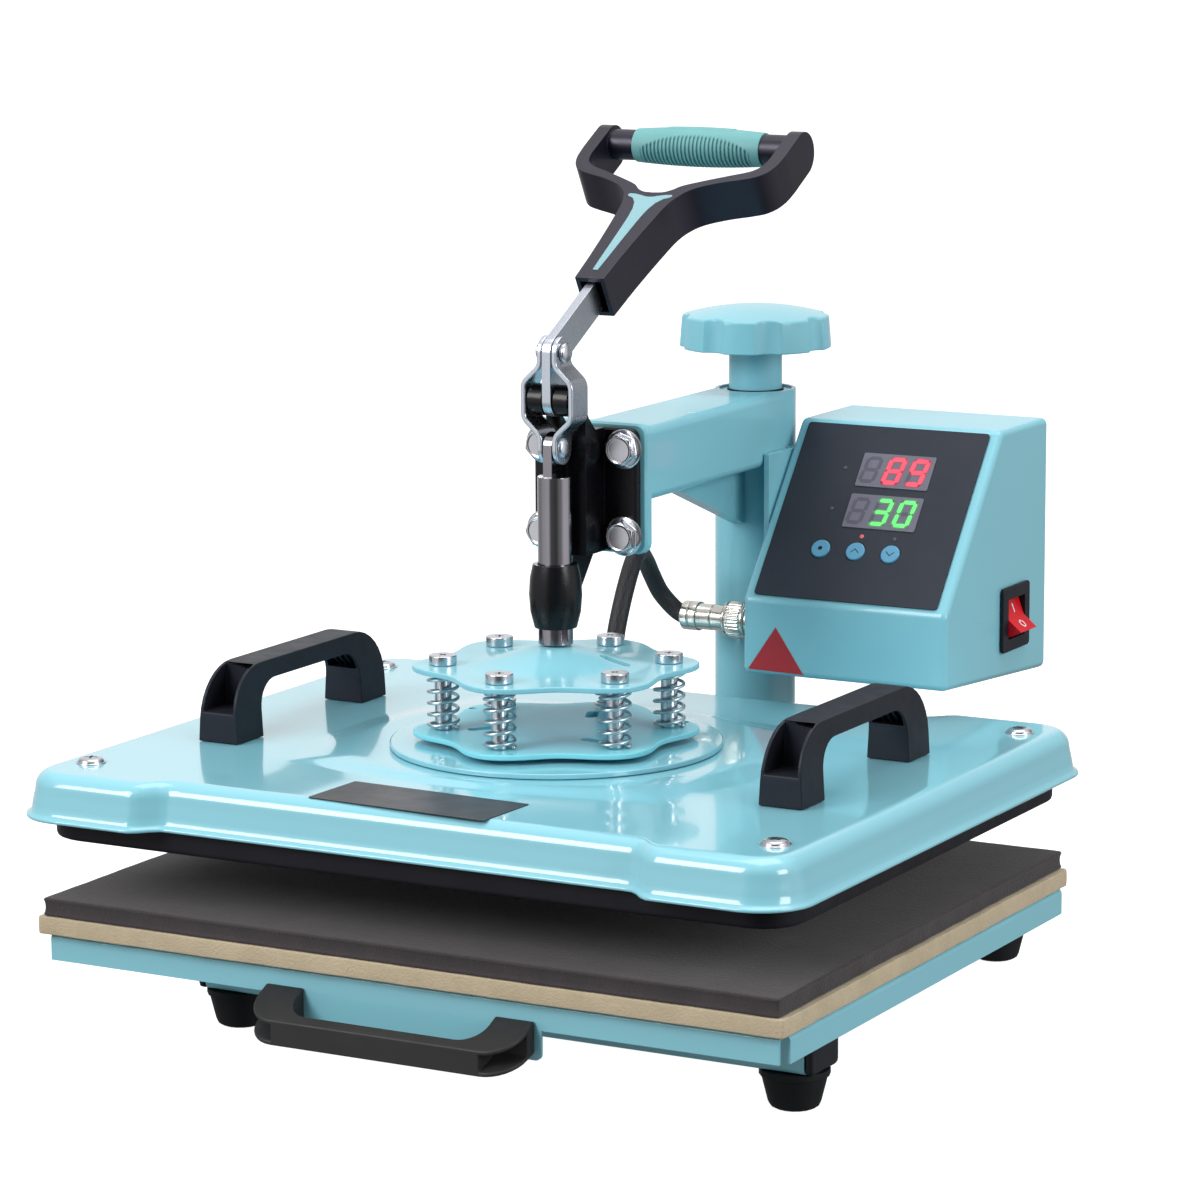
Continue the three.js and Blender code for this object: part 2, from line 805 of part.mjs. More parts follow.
function thrustCollar() {
  const bottom = collarTop - collarThick;
  const ring = barZ(columnBore - slip, bottom, collarTop, 0, columnY, 24);
  return cut(ring, barZ(screwRadius + slip, bottom - overrun, collarTop + overrun, 0, columnY, 16));
}

function buildColumn() {
  add('thrust_collar', thrustCollar(), 'steel');
  add('pressure_knob', pressureKnob(), 'teal');
  add('column_tube', columnTube(), 'teal');
}

// Arm: beam with gusset, end plate and clamp casting
function armBeam() {
  const start = endPlateFront + endPlateThick + seat;
  const end = columnY - beamNotch;
  const length = end - start;
  const middle = beamTop - beamHeight / 2;
  const outer = frontwards(roundedRectangle(beamWidth, beamHeight, beamRound, 0, middle), length, end, 0, 2);
  const [boreWidth, boreHeight] = [beamWidth - 2 * beamWall, beamHeight - 2 * beamWall];
  const inner = roundedRectangle(boreWidth, boreHeight, beamRound / 2, 0, middle);
  const [gussetTip, gussetFoot] = [columnY - columnRadius - gussetReach, beamBottom - gussetDrop];
  const gusset = sideways(outline([
    [gussetTip, beamBottom + beamWall / 2], [columnY, beamBottom + beamWall / 2],
    [columnY, gussetFoot], [columnY - columnRadius, gussetFoot],
    [gussetTip + gussetBite, beamBottom - gussetBite], [gussetTip, beamBottom - gussetBite / 4],
  ]), gussetThick, -gussetThick / 2);
  const clear = barZ(columnRadius + weldGap, gussetFoot - overrun, beamTop + overrun, 0, columnY, 36);
  const hollow = frontwards(inner, length + 2 * overrun, end + overrun, 0, 1);
  return cut(join(cut(outer, hollow), gusset), clear);
}

function boltPlaces() {
  const middle = flangeTop - boltRise - boltSpacingZ / 2;
  const places = [];
  for (const [up, word] of [[1, 'upper'], [-1, 'lower']]) {
    for (const [side, hand] of [[-1, 'left'], [1, 'right']]) {
      places.push([`${word}_${hand}`, (side * boltSpacingX) / 2, middle + (up * boltSpacingZ) / 2]);
    }
  }
  return places;
}

function endPlate() {
  const middle = beamTop + endPlateRise - endPlateHeight / 2;
  const shape = roundedRectangle(endPlateWidth, endPlateHeight, plateCorner, 0, middle);
  let solid = frontwards(shape, endPlateThick, endPlateFront + endPlateThick, plateEdge, 2);
  const [y0, y1] = [endPlateFront - overrun, endPlateFront + endPlateThick + overrun];
  for (const [, x, z] of boltPlaces()) solid = cut(solid, barY(boltShankRadius + slip, y0, y1, x, z, 12));
  return solid;
}

// Side view of the spine with its ears: round about the pivot, then sloping back to the flange
function spineShape() {
  const shape = new THREE.Shape();
  const slope = radians(earSlope);
  const sink = flangeFront + flangeThick / 2;
  const slopeY = plungerY + earRadius * Math.cos(slope) + earSlopeLength * Math.sin(slope);
  const slopeZ = pivotHeight + earRadius * Math.sin(slope) - earSlopeLength * Math.cos(slope);
  shape.absarc(plungerY, pivotHeight, earRadius, slope, Math.PI * 1.5);
  shape.lineTo(spineFront, pivotHeight - earRadius);
  shape.lineTo(spineFront, flangeBottom);
  shape.lineTo(sink, flangeBottom);
  shape.lineTo(sink, flangeTop);
  shape.lineTo(flangeFront - spineShoulder, flangeTop);
  shape.lineTo(slopeY, slopeZ);
  shape.closePath();
  return shape;
}

// Shares of the bulge and the height up the guide barrel
const guideShares = [[0.75, 0.25], [1, 0.52], [0.8, 0.78]];

// The one-piece black casting: flange, spine, rib, guide barrel and the two pivot ears
function clampBracket() {
  const back = flangeFront + flangeThick;
  const middle = (flangeTop + flangeBottom) / 2;
  const flangePlan = roundedRectangle(flangeWidth, flangeHeight, plateCorner, 0, middle);
  let solid = frontwards(flangePlan, flangeThick, back, plateEdge, 2);
  const spine = sideways(spineShape(), 2 * earOuter, -earOuter, 0, 8);
  const ribTop = flangeBottom + ribThick / 3;
  const rib = sideways(outline([
    [plungerY + guideFootRadius / 2, guideBottom + guideHeight / 4],
    [plungerY + guideBulge, guideBottom + guideHeight / 3],
    [back - flangeThick / 2, flangeBottom], [back - flangeThick / 2, ribTop],
    [plungerY + guideFootRadius / 2, ribTop],
  ]), ribThick, -ribThick / 2);
  const bulge = guideBulge - guideFootRadius;
  const swell = guideShares.map(([share, up]) => [guideFootRadius + bulge * share, guideHeight * up]);
  const profile = [[0, 0], [guideFootRadius, 0], ...swell, [guideTopRadius, guideHeight], [0, guideHeight]];
  const barrel = turned(profile, 0, plungerY, guideBottom, 28);
  solid = join(solid, spine, rib, barrel);
  const rodWay = barZ(rodRadius + slip, guideBottom - overrun, pivotHeight - earRadius * 2, 0, plungerY, 24);
  const [wayFront, wayBack] = [plungerY - earRadius - overrun, flangeFront - ribThick / 2];
  const [wayBottom, wayTop] = [pivotHeight - earRadius * 2.4, flangeTop + earRadius * 4];
  const linkWay = block(-earInner, earInner, wayFront, wayBack, wayBottom, wayTop);
  const pinHole = barX(pinRadius + slip, -earOuter - overrun, earOuter + overrun, plungerY, pivotHeight, 16);
  solid = cut(solid, rodWay, linkWay, pinHole);
  const [y0, y1] = [flangeFront - overrun, back + overrun];
  for (const [, x, z] of boltPlaces()) solid = cut(solid, barY(boltShankRadius + slip, y0, y1, x, z, 12));
  return solid;
}

// A flanged hex bolt through the casting and the end plate
function hexBolt(x, z) {
  const face = flangeFront - seat;
  const washer = barY(boltWasherRadius, face - boltWasherThick, face, x, z, 20);
  const head = barY(boltHexFlat / Math.sqrt(3), face - boltHeadHeight, face - boltWasherThick / 2, x, z, 6);
  const shank = barY(boltShankRadius, face - boltWasherThick, endPlateFront + endPlateThick, x, z, 12);
  return join(washer, head, shank);
}

function buildArm() {
  add('arm_beam', armBeam(), 'teal');
  add('arm_end_plate', endPlate(), 'teal');
  add('clamp_bracket', clampBracket(), 'casting');
  for (const [place, x, z] of boltPlaces()) add(`hex_bolt_${place}`, hexBolt(x, z), 'steel');
  add('pivot_pin', barX(pinRadius, -earOuter - seat, earOuter + seat, plungerY, pivotHeight, 16), 'steel');
}

// Toggle linkage
function linkPlate(side) {
  const cageMiddle = pivotHeight + (crankPin - pivotHeight + tangPin - pivotHeight) / 2;
  const [cageTop, cageBottom] = [cageMiddle + cageHeight / 2, cageMiddle - cageHeight / 2];
  const lug = strapWidth / 2;
  const [top, bottom] = [crankPin + lug, tangPin - lug];
  const line = [
    [strapInner, bottom], [strapInner, cageBottom - cageBend], [cageInner, cageBottom],
    [cageInner, cageTop], [strapInner, cageTop + cageBend], [strapInner, top],
  ];
  const outer = line.map(([x, z]) => [x + strapThick, z]).reverse();
  const profile = [...line, ...outer].map(([x, z]) => [x * side, z]);
  const strip = frontwards(outline(profile), strapWidth, plungerY + lug);
  const half = 2 * cageInner;
  const mask = sideways(slotShape(plungerY, tangPin, plungerY, crankPin, lug), 2 * half, -half, 0, 5);
  const hole = barX(pinRadius + slip, -half, half, plungerY, crankPin, 16);
  const dome = rivetHead(side * (strapInner + strapThick), side, tangPin);
  return join(cut(strip.intersect(mask), hole), dome);
}

// A low round rivet head on a face, pointing outwards
function rivetHead(x, side, z) {
  const profile = [
    [0, -strapThick / 2], [rivetDomeRadius, -strapThick / 2], [rivetDomeRadius, rivetDome / 4],
    [rivetDomeRadius * 0.75, rivetDome * 0.8], [0, rivetDome],
  ];
  const geometry = new THREE.LatheGeometry(profile.map((place) => new THREE.Vector2(...place)), 16);
  geometry.rotateZ((-side * Math.PI) / 2);
  geometry.translate(x, plungerY, z);
  return solidOf(geometry);
}

function linkRivet() {
  const half = strapInner + strapThick + seat;
  const end = half + strapThick / 2;
  const [y0, y1] = [plungerY - strapWidth, plungerY + strapWidth];
  const links = block(-half, half, y0, y1, crankPin - strapWidth, crankPin + strapWidth);
  const heads = [-1, 1].map((side) => cut(rivetHead(side * end, side, crankPin), links));
  return join(barX(pinRadius, -end, end, plungerY, crankPin, 16), ...heads);
}

// The lever bar stands up from the pivot to the crank pin and then leans back into the handle
function leverBar() {
  const slope = radians(handleSlope);
  const reach = handleStart + barInsert;
  const [endY, endZ] = [plungerY + reach * Math.cos(slope), crankPin + reach * Math.sin(slope)];
  const crank = slotShape(plungerY, pivotHeight, plungerY, crankPin, barWidth / 2);
  const bar = slotShape(plungerY, crankPin, endY, endZ, barWidth / 2);
  const [lower, upper] = [crank, bar].map((shape) => sideways(shape, barThick, -barThick / 2, 0, 5));
  const [pivotHole, crankHole] = [pivotHeight, crankPin].map((z) => (
    barX(pinRadius + slip, -barThick, barThick, plungerY, z, 16)
  ));
  return cut(join(lower, upper), pivotHole, crankHole);
}

// Plan of the Y shaped handle in shares of its half width and length, right half from the neck
const handleOuterShares = [
  [0.139, -0.02], [0.156, 0.15], [0.193, 0.35], [0.222, 0.45], [0.262, 0.5], [0.35, 0.549],
  [0.55, 0.595], [0.76, 0.625], [0.87, 0.645], [0.94, 0.676], [0.985, 0.725], [1, 0.79], [1, 1],
];
const handleInnerShares = [
  [0.872, 1], [0.872, 0.76], [0.85, 0.715], [0.79, 0.683], [0.6, 0.645], [0.4, 0.607], [0.22, 0.567],
  [0.17, 0.545], [0.1, 0.527], [0, 0.522],
];

function handleFrame() {
  const place = ([x, u]) => [x * handleHalf, u * handleLength];
  const right = [...handleOuterShares, ...handleInnerShares].map(place);
  const left = right.map(([x, u]) => [-x, u]).reverse().slice(1);
  const body = upright(outline([...right, ...left]), handleThick, -handleThick / 2, handleBevel);
  const tip = handleLength - handleThick / 2;
  const side = slotShape(-handleThick, 0, tip, 0, handleThick / 2);
  const mask = sideways(side, 2 * handleHalf + 2 * overrun, -handleHalf - overrun, 0, 5);
  const grip = barX(gripRadius, -handleHalf * 0.9, handleHalf * 0.9, gripAlong, gripRise, 24);
  const start = handleOuterShares[0][1] * handleLength;
  const mouthHalf = handleOuterShares[0][0] * handleHalf - mouthWall;
  const mouthHigh = handleThick / 2 - mouthWall;
  const mouth = block(-mouthHalf, mouthHalf, start - overrun, start + mouthDepth, -mouthHigh, mouthHigh);
  const slotHalf = barThick / 2 + slip;
  const slotHigh = barWidth / 2 + slip;
  const slot = sideways(slotShape(start, 0, barInsert, 0, slotHigh), 2 * slotHalf, -slotHalf, 0, 4);
  return cut(join(body.intersect(mask), grip), mouth, slot);
}

function gripSleeve() {
  const half = sleeveLength / 2;
  const bore = gripRadius + weldGap;
  const wall = bore + sleeveWall;
  const profile = [
    [bore, -half], [wall, -half], [wall + sleeveBulge * 0.6, -half * 0.6], [wall + sleeveBulge, 0],
    [wall + sleeveBulge * 0.6, half * 0.6], [wall, half], [bore, half], [bore, -half],
  ];
  const geometry = new THREE.LatheGeometry(profile.map(([r, x]) => new THREE.Vector2(r, x)), 24);
  geometry.rotateZ(-Math.PI / 2);
  geometry.translate(0, gripAlong, gripRise);
  return solidOf(geometry);
}

function plungerRod() {
  const shoulder = tangPin - tangShoulder;
  const rod = barZ(rodRadius, rodBottom, shoulder, 0, plungerY, 24);
  const tip = tangPin + tangTop - tangWidth / 2;
  const half = strapInner - weldGap;
  const tang = slotShape(plungerY, shoulder - tangWidth, plungerY, tip, tangWidth / 2);
  return join(rod, sideways(tang, 2 * half, -half, 0, 5));
}

function buildLinkage() {
  add('link_plate_left', linkPlate(-1), 'steel');
  add('link_plate_right', linkPlate(1), 'steel');
  add('link_rivet', linkRivet(), 'steel');
  add('lever_bar', leverBar(), 'steel');
  const slope = radians(handleSlope);
  const handle = new THREE.Group();
  const [alongY, alongZ] = polar(handleStart, slope);
  handle.position.set(0, plungerY + alongY, crankPin + alongZ);
  handle.rotation.x = slope;
  press.add(handle);
  add('handle_frame', handleFrame(), 'black', handle);
  add('grip_sleeve', gripSleeve(), 'sleeve', handle);
  add('plunger_rod', plungerRod(), 'steel');
}

// Floating head: plates with six round lobes about the plunger axis
function lobedPlate(bottom, dome) {
  const count = 48;
  const radiusAt = (angle) => bladeRadius + lobeDepth * Math.cos(lobeCount * (angle - radians(lobePhase)));
  const ring = (radius, z) => Array.from({ length: count }, (_, i) => {
    const [x, y] = polar(radius, (i * 2 * Math.PI) / count);
    return [x, plungerY + y, z + dome * (1 - smooth(radius / domeRadius))];
  });
  const rim = (z) => Array.from({ length: count }, (_, i) => {
    const angle = (i * 2 * Math.PI) / count;
    const [x, y] = polar(radiusAt(angle), angle);
    return [x, plungerY + y, z];
  });
  const ringShares = dome > 0 ? [0.35, 0.68, 1] : [];
  const under = ringShares.map((share) => ring(share * domeRadius, bottom));
  const over = ringShares.map((share) => ring(share * domeRadius, bottom + plateThick)).reverse();
  const edge = [rim(bottom), rim(bottom + plateThick)];
  const [lowPole, highPole] = [bottom + dome, bottom + plateThick + dome].map((z) => [0, plungerY, z]);
  return loft([...under, ...edge, ...over], lowPole, highPole);
}

function boltCentres() {
  return Array.from({ length: lobeCount }, (_, i) => {
    const [x, y] = polar(boltCircle, radians(lobePhase) + (i * 2 * Math.PI) / lobeCount);
    return [x, plungerY + y];
  });
}

// The short slots that let the plate be turned on its studs
function turnSlots(bottom) {
  return Array.from({ length: slotCount }, (_, i) => {
    const angle = radians(slotPhase) + (i * 2 * Math.PI) / slotCount;
    const [x, y] = polar(slotRadius, angle);
    const [dx, dy] = polar(slotLength / 2 - slotWidth / 2, angle + radians(slotTurn));
    const shape = slotShape(x - dx, plungerY + y - dy, x + dx, plungerY + y + dy, slotWidth / 2);
    return upright(shape, plateThick + plateDome + 2 * overrun, bottom - overrun, 0, 3);
  });
}

function upperPlate() {
  const [z0, z1] = [upperPlateBottom - overrun, upperPlateTop + overrun];
  const holes = boltCentres().map(([x, y]) => barZ(shankRadius + slip, z0, z1, x, y, 12));
  return cut(lobedPlate(upperPlateBottom, plateDome), ...holes, ...turnSlots(upperPlateBottom));
}

// The lower plate carries the six shoulder bolts on which the springs sit
function lowerPlate() {
  const holes = Array.from({ length: lobeCount / 2 }, (_, i) => {
    const [x, y] = polar(edgeHoleCircle, radians(lobePhase + lobePhase / 3) + (i * 4 * Math.PI) / lobeCount);
    return barZ(edgeHoleRadius, lowerPlateBottom - overrun, springBottom + overrun, x, plungerY + y, 8);
  });
  let solid = cut(lobedPlate(lowerPlateBottom, 0), ...turnSlots(lowerPlateBottom), ...holes);
  const headBottom = upperPlateTop + seat;
  for (const [x, y] of boltCentres()) {
    const headTop = headBottom + shoulderHeadHeight;
    const shank = barZ(shankRadius, lowerPlateBottom + plateThick / 2, headTop - socketDepth, x, y, 12);
    const edge = shoulderHeadHeight / 6;
    const head = turned([
      [0, 0], [shoulderHeadRadius, 0], [shoulderHeadRadius, shoulderHeadHeight - edge],
      [shoulderHeadRadius - edge, shoulderHeadHeight], [0, shoulderHeadHeight],
    ], x, y, headBottom, 14);
    const socket = barZ(socketRadius, headTop - socketDepth, headTop + overrun, x, y, 6);
    solid = join(solid, shank, cut(head, socket));
  }
  return solid;
}

function flangeDisc() {
  const padHeight = discThick + lowerPlateRise - seat;
  return turned([
    [0, 0], [discRadius, 0], [discRadius, discThick], [discPadRadius, discThick],
    [discPadRadius, padHeight], [0, padHeight],
  ], 0, plungerY, discBottom, 52);
}

// A closed helix: one wire whose ends lie nearly flat on the plates
function springCurve(x, y, bottom) {
  const start = bottom + wireRadius;
  const rise = springLength - 2 * wireRadius;
  const steps = Math.round(springTurns * springSteps);
  return Array.from({ length: steps + 1 }, (_, i) => {
    const t = i / steps;
    const [dx, dy] = polar(springRadius, t * springTurns * 2 * Math.PI);
    return new THREE.Vector3(x + dx, y + dy, start + rise * springRise(t));
  });
}

const springSteps = 8;
const endShare = 0.13;
const endPitchShare = 0.055;
// Share of the height gained at share t of the wire: shallow at both ends, even between
function springRise(t) {
  if (t < endShare) return (endPitchShare * t) / endShare;
  if (t > 1 - endShare) return 1 - (endPitchShare * (1 - t)) / endShare;
  return endPitchShare + ((1 - 2 * endPitchShare) * (t - endShare)) / (1 - 2 * endShare);
}

function springWire(x, y, bottom) {
  const points = springCurve(x, y, bottom);
  const sides = 5;
  const rings = points.map((point, i) => {
    const ahead = points[Math.min(i + 1, points.length - 1)];
    const behind = points[Math.max(i - 1, 0)];
    const tangent = new THREE.Vector3().subVectors(ahead, behind).normalize();
    const outward = new THREE.Vector3(point.x - x, point.y - y, 0).normalize();
    const upward = new THREE.Vector3().crossVectors(tangent, outward).normalize();
    return Array.from({ length: sides }, (_, k) => {
      const angle = (k * 2 * Math.PI) / sides;
      const place = point.clone().addScaledVector(outward, wireRadius * Math.cos(angle));
      return place.addScaledVector(upward, wireRadius * Math.sin(angle)).toArray();
    });
  });
  return loft(rings, points[0].toArray(), points[points.length - 1].toArray());
}

// The least gap between the wire's own turns, measured on its points
function springGap() {
  const points = springCurve(0, 0, 0);
  const near = springSteps / 2;
  let least = Infinity;
  for (let i = 0; i < points.length; i += 1) {
    for (let k = i + near; k < points.length; k += 1) {
      least = Math.min(least, points[i].distanceTo(points[k]));
    }
  }
  return least - 2 * wireRadius;
}

// Shares of the blend at each end of the recess, from the corner inwards
const blendShares = [1, 0.78, 0.5, 0.22, 0];

// Plan of the cover: a rounded rectangle whose front and back step in between the corners
function coverRing(inset, z, round = 0) {
  const [hx, hy] = [coverWidth / 2 - inset, coverDepth / 2 - inset];
  const corner = Math.max(coverCorner - inset, coverCorner / 4);
  const cornerSteps = 6;
  const points = [];
  const span = hx - corner;
  const rightX = blendShares.map((share) => recessHalf + recessBlend * share);
  const edgeX = [...rightX, recessHalf / 3, -recessHalf / 3, ...rightX.map((x) => -x).reverse()];
  const depthAt = (x) => coverRecess * (1 - smooth((Math.abs(x) - recessHalf) / recessBlend));
  const arc = (cx, cy, from) => {
    for (let i = 0; i <= cornerSteps; i += 1) {
      const [dx, dy] = polar(corner, from + (i * Math.PI) / 2 / cornerSteps);
      points.push([cx + dx, cy + dy]);
    }
  };
  arc(span, hy - corner, 0);
  edgeX.forEach((x) => points.push([x, hy - depthAt(x)]));
  arc(-span, hy - corner, Math.PI / 2);
  arc(-span, -hy + corner, Math.PI);
  [...edgeX].reverse().forEach((x) => points.push([x, -hy + depthAt(x)]));
  arc(span, -hy + corner, Math.PI * 1.5);
  const oval = (x, y) => {
    const angle = Math.atan2(y / hy, x / hx);
    return polar(Math.min(hx, hy), angle);
  };
  return points.map(([x, y]) => {
    const [ox, oy] = oval(x, y);
    return [x + (ox - x) * round, y + (oy - y) * round, z];
  });
}

// Inset of the crown's foot and of its upper edge, as shares of the depth
const crownShares = [0.2, 0.23];

function coverShell() {
  const [crownFoot, crownEdge] = crownShares.map((share) => coverDepth * share);
  const shoulder = coverTop - coverRound;
  const wallInset = coverLip + coverDraft;
  const bend = 1 - Math.SQRT1_2;
  const outer = [
    coverRing(0, coverBottom), coverRing(0, coverBottom + coverLipHeight / 2),
    coverRing(coverLip, coverBottom + coverLipHeight), coverRing(wallInset, shoulder),
    coverRing(wallInset + coverRound * bend, coverTop - coverRound * bend),
    coverRing(wallInset + coverRound, coverTop),
    coverRing(crownFoot, coverTop, 0.5), coverRing(crownEdge, crownTop, 0.9),
  ];
  const inner = [
    coverRing(crownEdge, crownTop - coverWall, 0.9), coverRing(crownFoot, coverTop - coverWall, 0.5),
    coverRing(wallInset + coverRound, coverTop - coverWall),
    coverRing(wallInset + coverWall, shoulder - coverWall), coverRing(coverLip + coverWall, coverBottom),
  ];
  return loft([...inner, ...outer], [0, 0, crownTop - coverWall], [0, 0, crownTop]);
}

// Cast platen with rounded lower edges and four bosses that carry the cover
function heatPlaten() {
  const ring = (inset, z) => {
    const plan = roundedRectangle(platenWidth - 2 * inset, platenDepth - 2 * inset, platenCorner - inset);
    return plan.getPoints(3).slice(0, -1).map((p) => [p.x, p.y, z]);
  };
  const top = platenBottom + platenThick;
  const bend = platenRound * (1 - Math.SQRT1_2);
  const rings = [
    ring(platenRound, platenBottom), ring(bend, platenBottom + bend),
    ring(0, platenBottom + platenRound), ring(0, top),
  ];
  const slab = loft(rings, [0, 0, platenBottom], [0, 0, top]);
  const bossTop = coverTop - coverWall - seat;
  const corners = [[1, 1], [-1, 1], [-1, -1], [1, -1]];
  const foot = top - platenThick / 2;
  return join(slab, ...corners.map(([i, j]) => barZ(bossRadius, foot, bossTop, i * bossX, j * bossY, 16)));
}

// A moulded side handle: tapered U with a pocket in its front leg and ribs under the rear
function sideHandle(x) {
  const half = sideHandleLength / 2;
  const base = coverTop + seat;
  const top = base + sideHandleHeight;
  const legTop = top - sideHandleBar;
  const leg = half - sideHandleLeg;
  const shape = new THREE.Shape();
  shape.moveTo(-half, base);
  shape.lineTo(-leg, base);
  shape.absarc(-leg + sideHandleInner, legTop - sideHandleInner, sideHandleInner, Math.PI, Math.PI / 2, true);
  shape.absarc(leg - sideHandleInner, legTop - sideHandleInner, sideHandleInner, Math.PI / 2, 0, true);
  shape.lineTo(leg, base);
  shape.lineTo(half, base);
  shape.absarc(half - sideHandleOuter, top - sideHandleOuter, sideHandleOuter, 0, Math.PI / 2);
  shape.absarc(-half + sideHandleOuter, top - sideHandleOuter, sideHandleOuter, Math.PI / 2, Math.PI);
  shape.closePath();
  const body = sideways(shape, sideHandleFoot, x - sideHandleFoot / 2, 0, 4);
  const narrowing = (sideHandleFoot - sideHandleTopWidth) / 2 / (top - base);
  const halfAt = (z) => sideHandleFoot / 2 - narrowing * (z - base);
  const wedge = (wall, y0, y1, z0, z1) => {
    const [low, high] = [halfAt(z0) - wall, halfAt(z1) - wall];
    return frontwards(outline([[x - low, z0], [x + low, z0], [x + high, z1], [x - high, z1]]), y1 - y0, y1);
  };
  const taper = wedge(0, -half - overrun, half + overrun, base, top);
  const pocketBack = sidePocketDepth - half;
  const pocket = wedge(sideHandleWall, -half - overrun, pocketBack, base + sidePocketFloor, top + overrun);
  const [recessFloor, recessTop] = [base + sideRecessFloor, legTop + sideRecessRise];
  const [recessFront, recessBack] = [leg - sideHandleInner, leg + sideRecessDepth];
  const recess = wedge(sideHandleWall, recessFront, recessBack, recessFloor, recessTop);
  const bite = sideHandleWall / 2;
  const ribShape = outline([
    [recessFront + sideRibReach, recessTop + bite], [recessBack + bite, recessTop + bite],
    [recessBack + bite, recessFloor - bite], [recessBack - sideRibReach, recessFloor - bite],
    [leg - sideRibReach / 2, legTop - sideHandleInner / 3],
  ]);
  const ribRoom = halfAt(recessTop) - sideHandleWall;
  const ribs = Array.from({ length: sideRibCount }, (_, i) => {
    const middle = x + ribRoom * ((2 * (i + 1)) / (sideRibCount + 1) - 1);
    return sideways(ribShape, sideRibThick, middle - sideRibThick / 2);
  });
  return join(cut(body.intersect(taper), pocket, recess), ...ribs.map((rib) => rib.intersect(taper)));
}

function buildHead() {
  add('upper_flange_plate', upperPlate(), 'teal');
  add('lower_flange_plate', lowerPlate(), 'teal');
  add('flange_disc', flangeDisc(), 'teal');
  boltCentres().forEach(([x, y], i) => add(`spring_${i + 1}`, springWire(x, y, springBottom), 'steel'));
  add('cover', coverShell(), 'teal');
  add('heat_platen', heatPlaten(), 'platen');
  add('side_handle_left', sideHandle(-sideHandleX), 'black');
  add('side_handle_right', sideHandle(sideHandleX), 'black');
}

// Control box: side outline with a short upright lip and a long sloping face
function boxOutline(inset, back) {
  const slopeStart = boxBottom + boxLip;
  const slopeEnd = boxFront + boxDepth - boxTopDepth;
  const lean = Math.atan2(boxTop - slopeStart, slopeEnd - boxFront);
  const shift = inset * Math.tan(lean / 2);
  const tilt = inset * Math.tan((Math.PI - lean) / 4);
  return outline([
    [boxFront + inset, boxBottom + inset], [back, boxBottom - boxSag + inset],
    [back, boxTop - inset], [slopeEnd + tilt, boxTop - inset], [boxFront + inset, slopeStart - shift * 0.6],
  ]);
}

function panelFrame() {
  const slopeStart = boxBottom + boxLip;
  const slopeEnd = boxFront + boxDepth - boxTopDepth;
  const lean = Math.atan2(boxTop - slopeStart, slopeEnd - boxFront);
  return { y: boxFront, z: slopeStart, lean, length: Math.hypot(boxTop - slopeStart, slopeEnd - boxFront) };
}

function buttonPlaces() {
  return [0, 1, 2].map((i) => [boxLeft + buttonFirst + i * buttonPitch, buttonRow]);
}

// Turns a solid drawn flat on the panel into its place on the sloping face
function ontoPanel(solid) {
  const { y, z, lean } = panelFrame();
  return solid.rotate([(lean * 180) / Math.PI, 0, 0]).translate([0, y, z]);
}

function controlBox() {
  const back = boxFront + boxDepth;
  const shell = sideways(boxOutline(0, back), boxWidth, boxLeft, boxRound, 2);
  const room = sideways(boxOutline(boxWall, back + overrun), boxWidth - 2 * boxWall, boxLeft + boxWall);
  const deep = -boxWall * 2 - overrun;
  const holes = buttonPlaces().map(([x, u]) => barZ(buttonRadius + slip, deep, overrun, x, u, 18));
  const [y, z] = rockerCentre();
  const [halfY, halfZ] = [bezelWidth / 2 - bezelRim, bezelHeight / 2 - bezelRim];
  const [x0, x1] = [boxLeft + boxWidth - boxWall - overrun, boxLeft + boxWidth + overrun];
  const window = block(x0, x1, y - halfY, y + halfY, z - halfZ, z + halfZ);
  return cut(shell, room, ...holes.map(ontoPanel), window);
}

function boxBack() {
  const back = boxFront + boxDepth;
  const gap = boxWall + slip;
  const [z0, z1] = [boxBottom - boxSag + gap, boxTop - gap];
  const [x0, x1] = [boxLeft + gap, boxLeft + boxWidth - gap];
  return block(x0, x1, back - boxWall - boxRound, back - boxRound, z0 + boxRound / 2, z1);
}

function controlPanel() {
  const { length } = panelFrame();
  const [width, height] = [boxWidth - 2 * panelMarginX, length - 2 * panelMarginY];
  const plan = roundedRectangle(width, height, panelThick * 2, boxLeft + boxWidth / 2, length / 2);
  const sheet = upright(plan, panelThick, weldGap, 0, 2);
  const holes = buttonPlaces().map(([x, u]) => barZ(buttonRadius + slip, -overrun, overrun, x, u, 18));
  return ontoPanel(cut(sheet, ...holes));
}

function panelButton(x, u) {
  const top = panelThick + weldGap + buttonProud;
  const dome = buttonProud / 2;
  return ontoPanel(turned([
    [0, 0], [buttonRadius, 0], [buttonRadius, buttonLength - dome],
    [buttonRadius - dome, buttonLength], [0, buttonLength],
  ], x, u, top - buttonLength, 18));
}

function rockerCentre() {
  return [boxFront + bezelSetback, boxBottom + bezelLift];
}

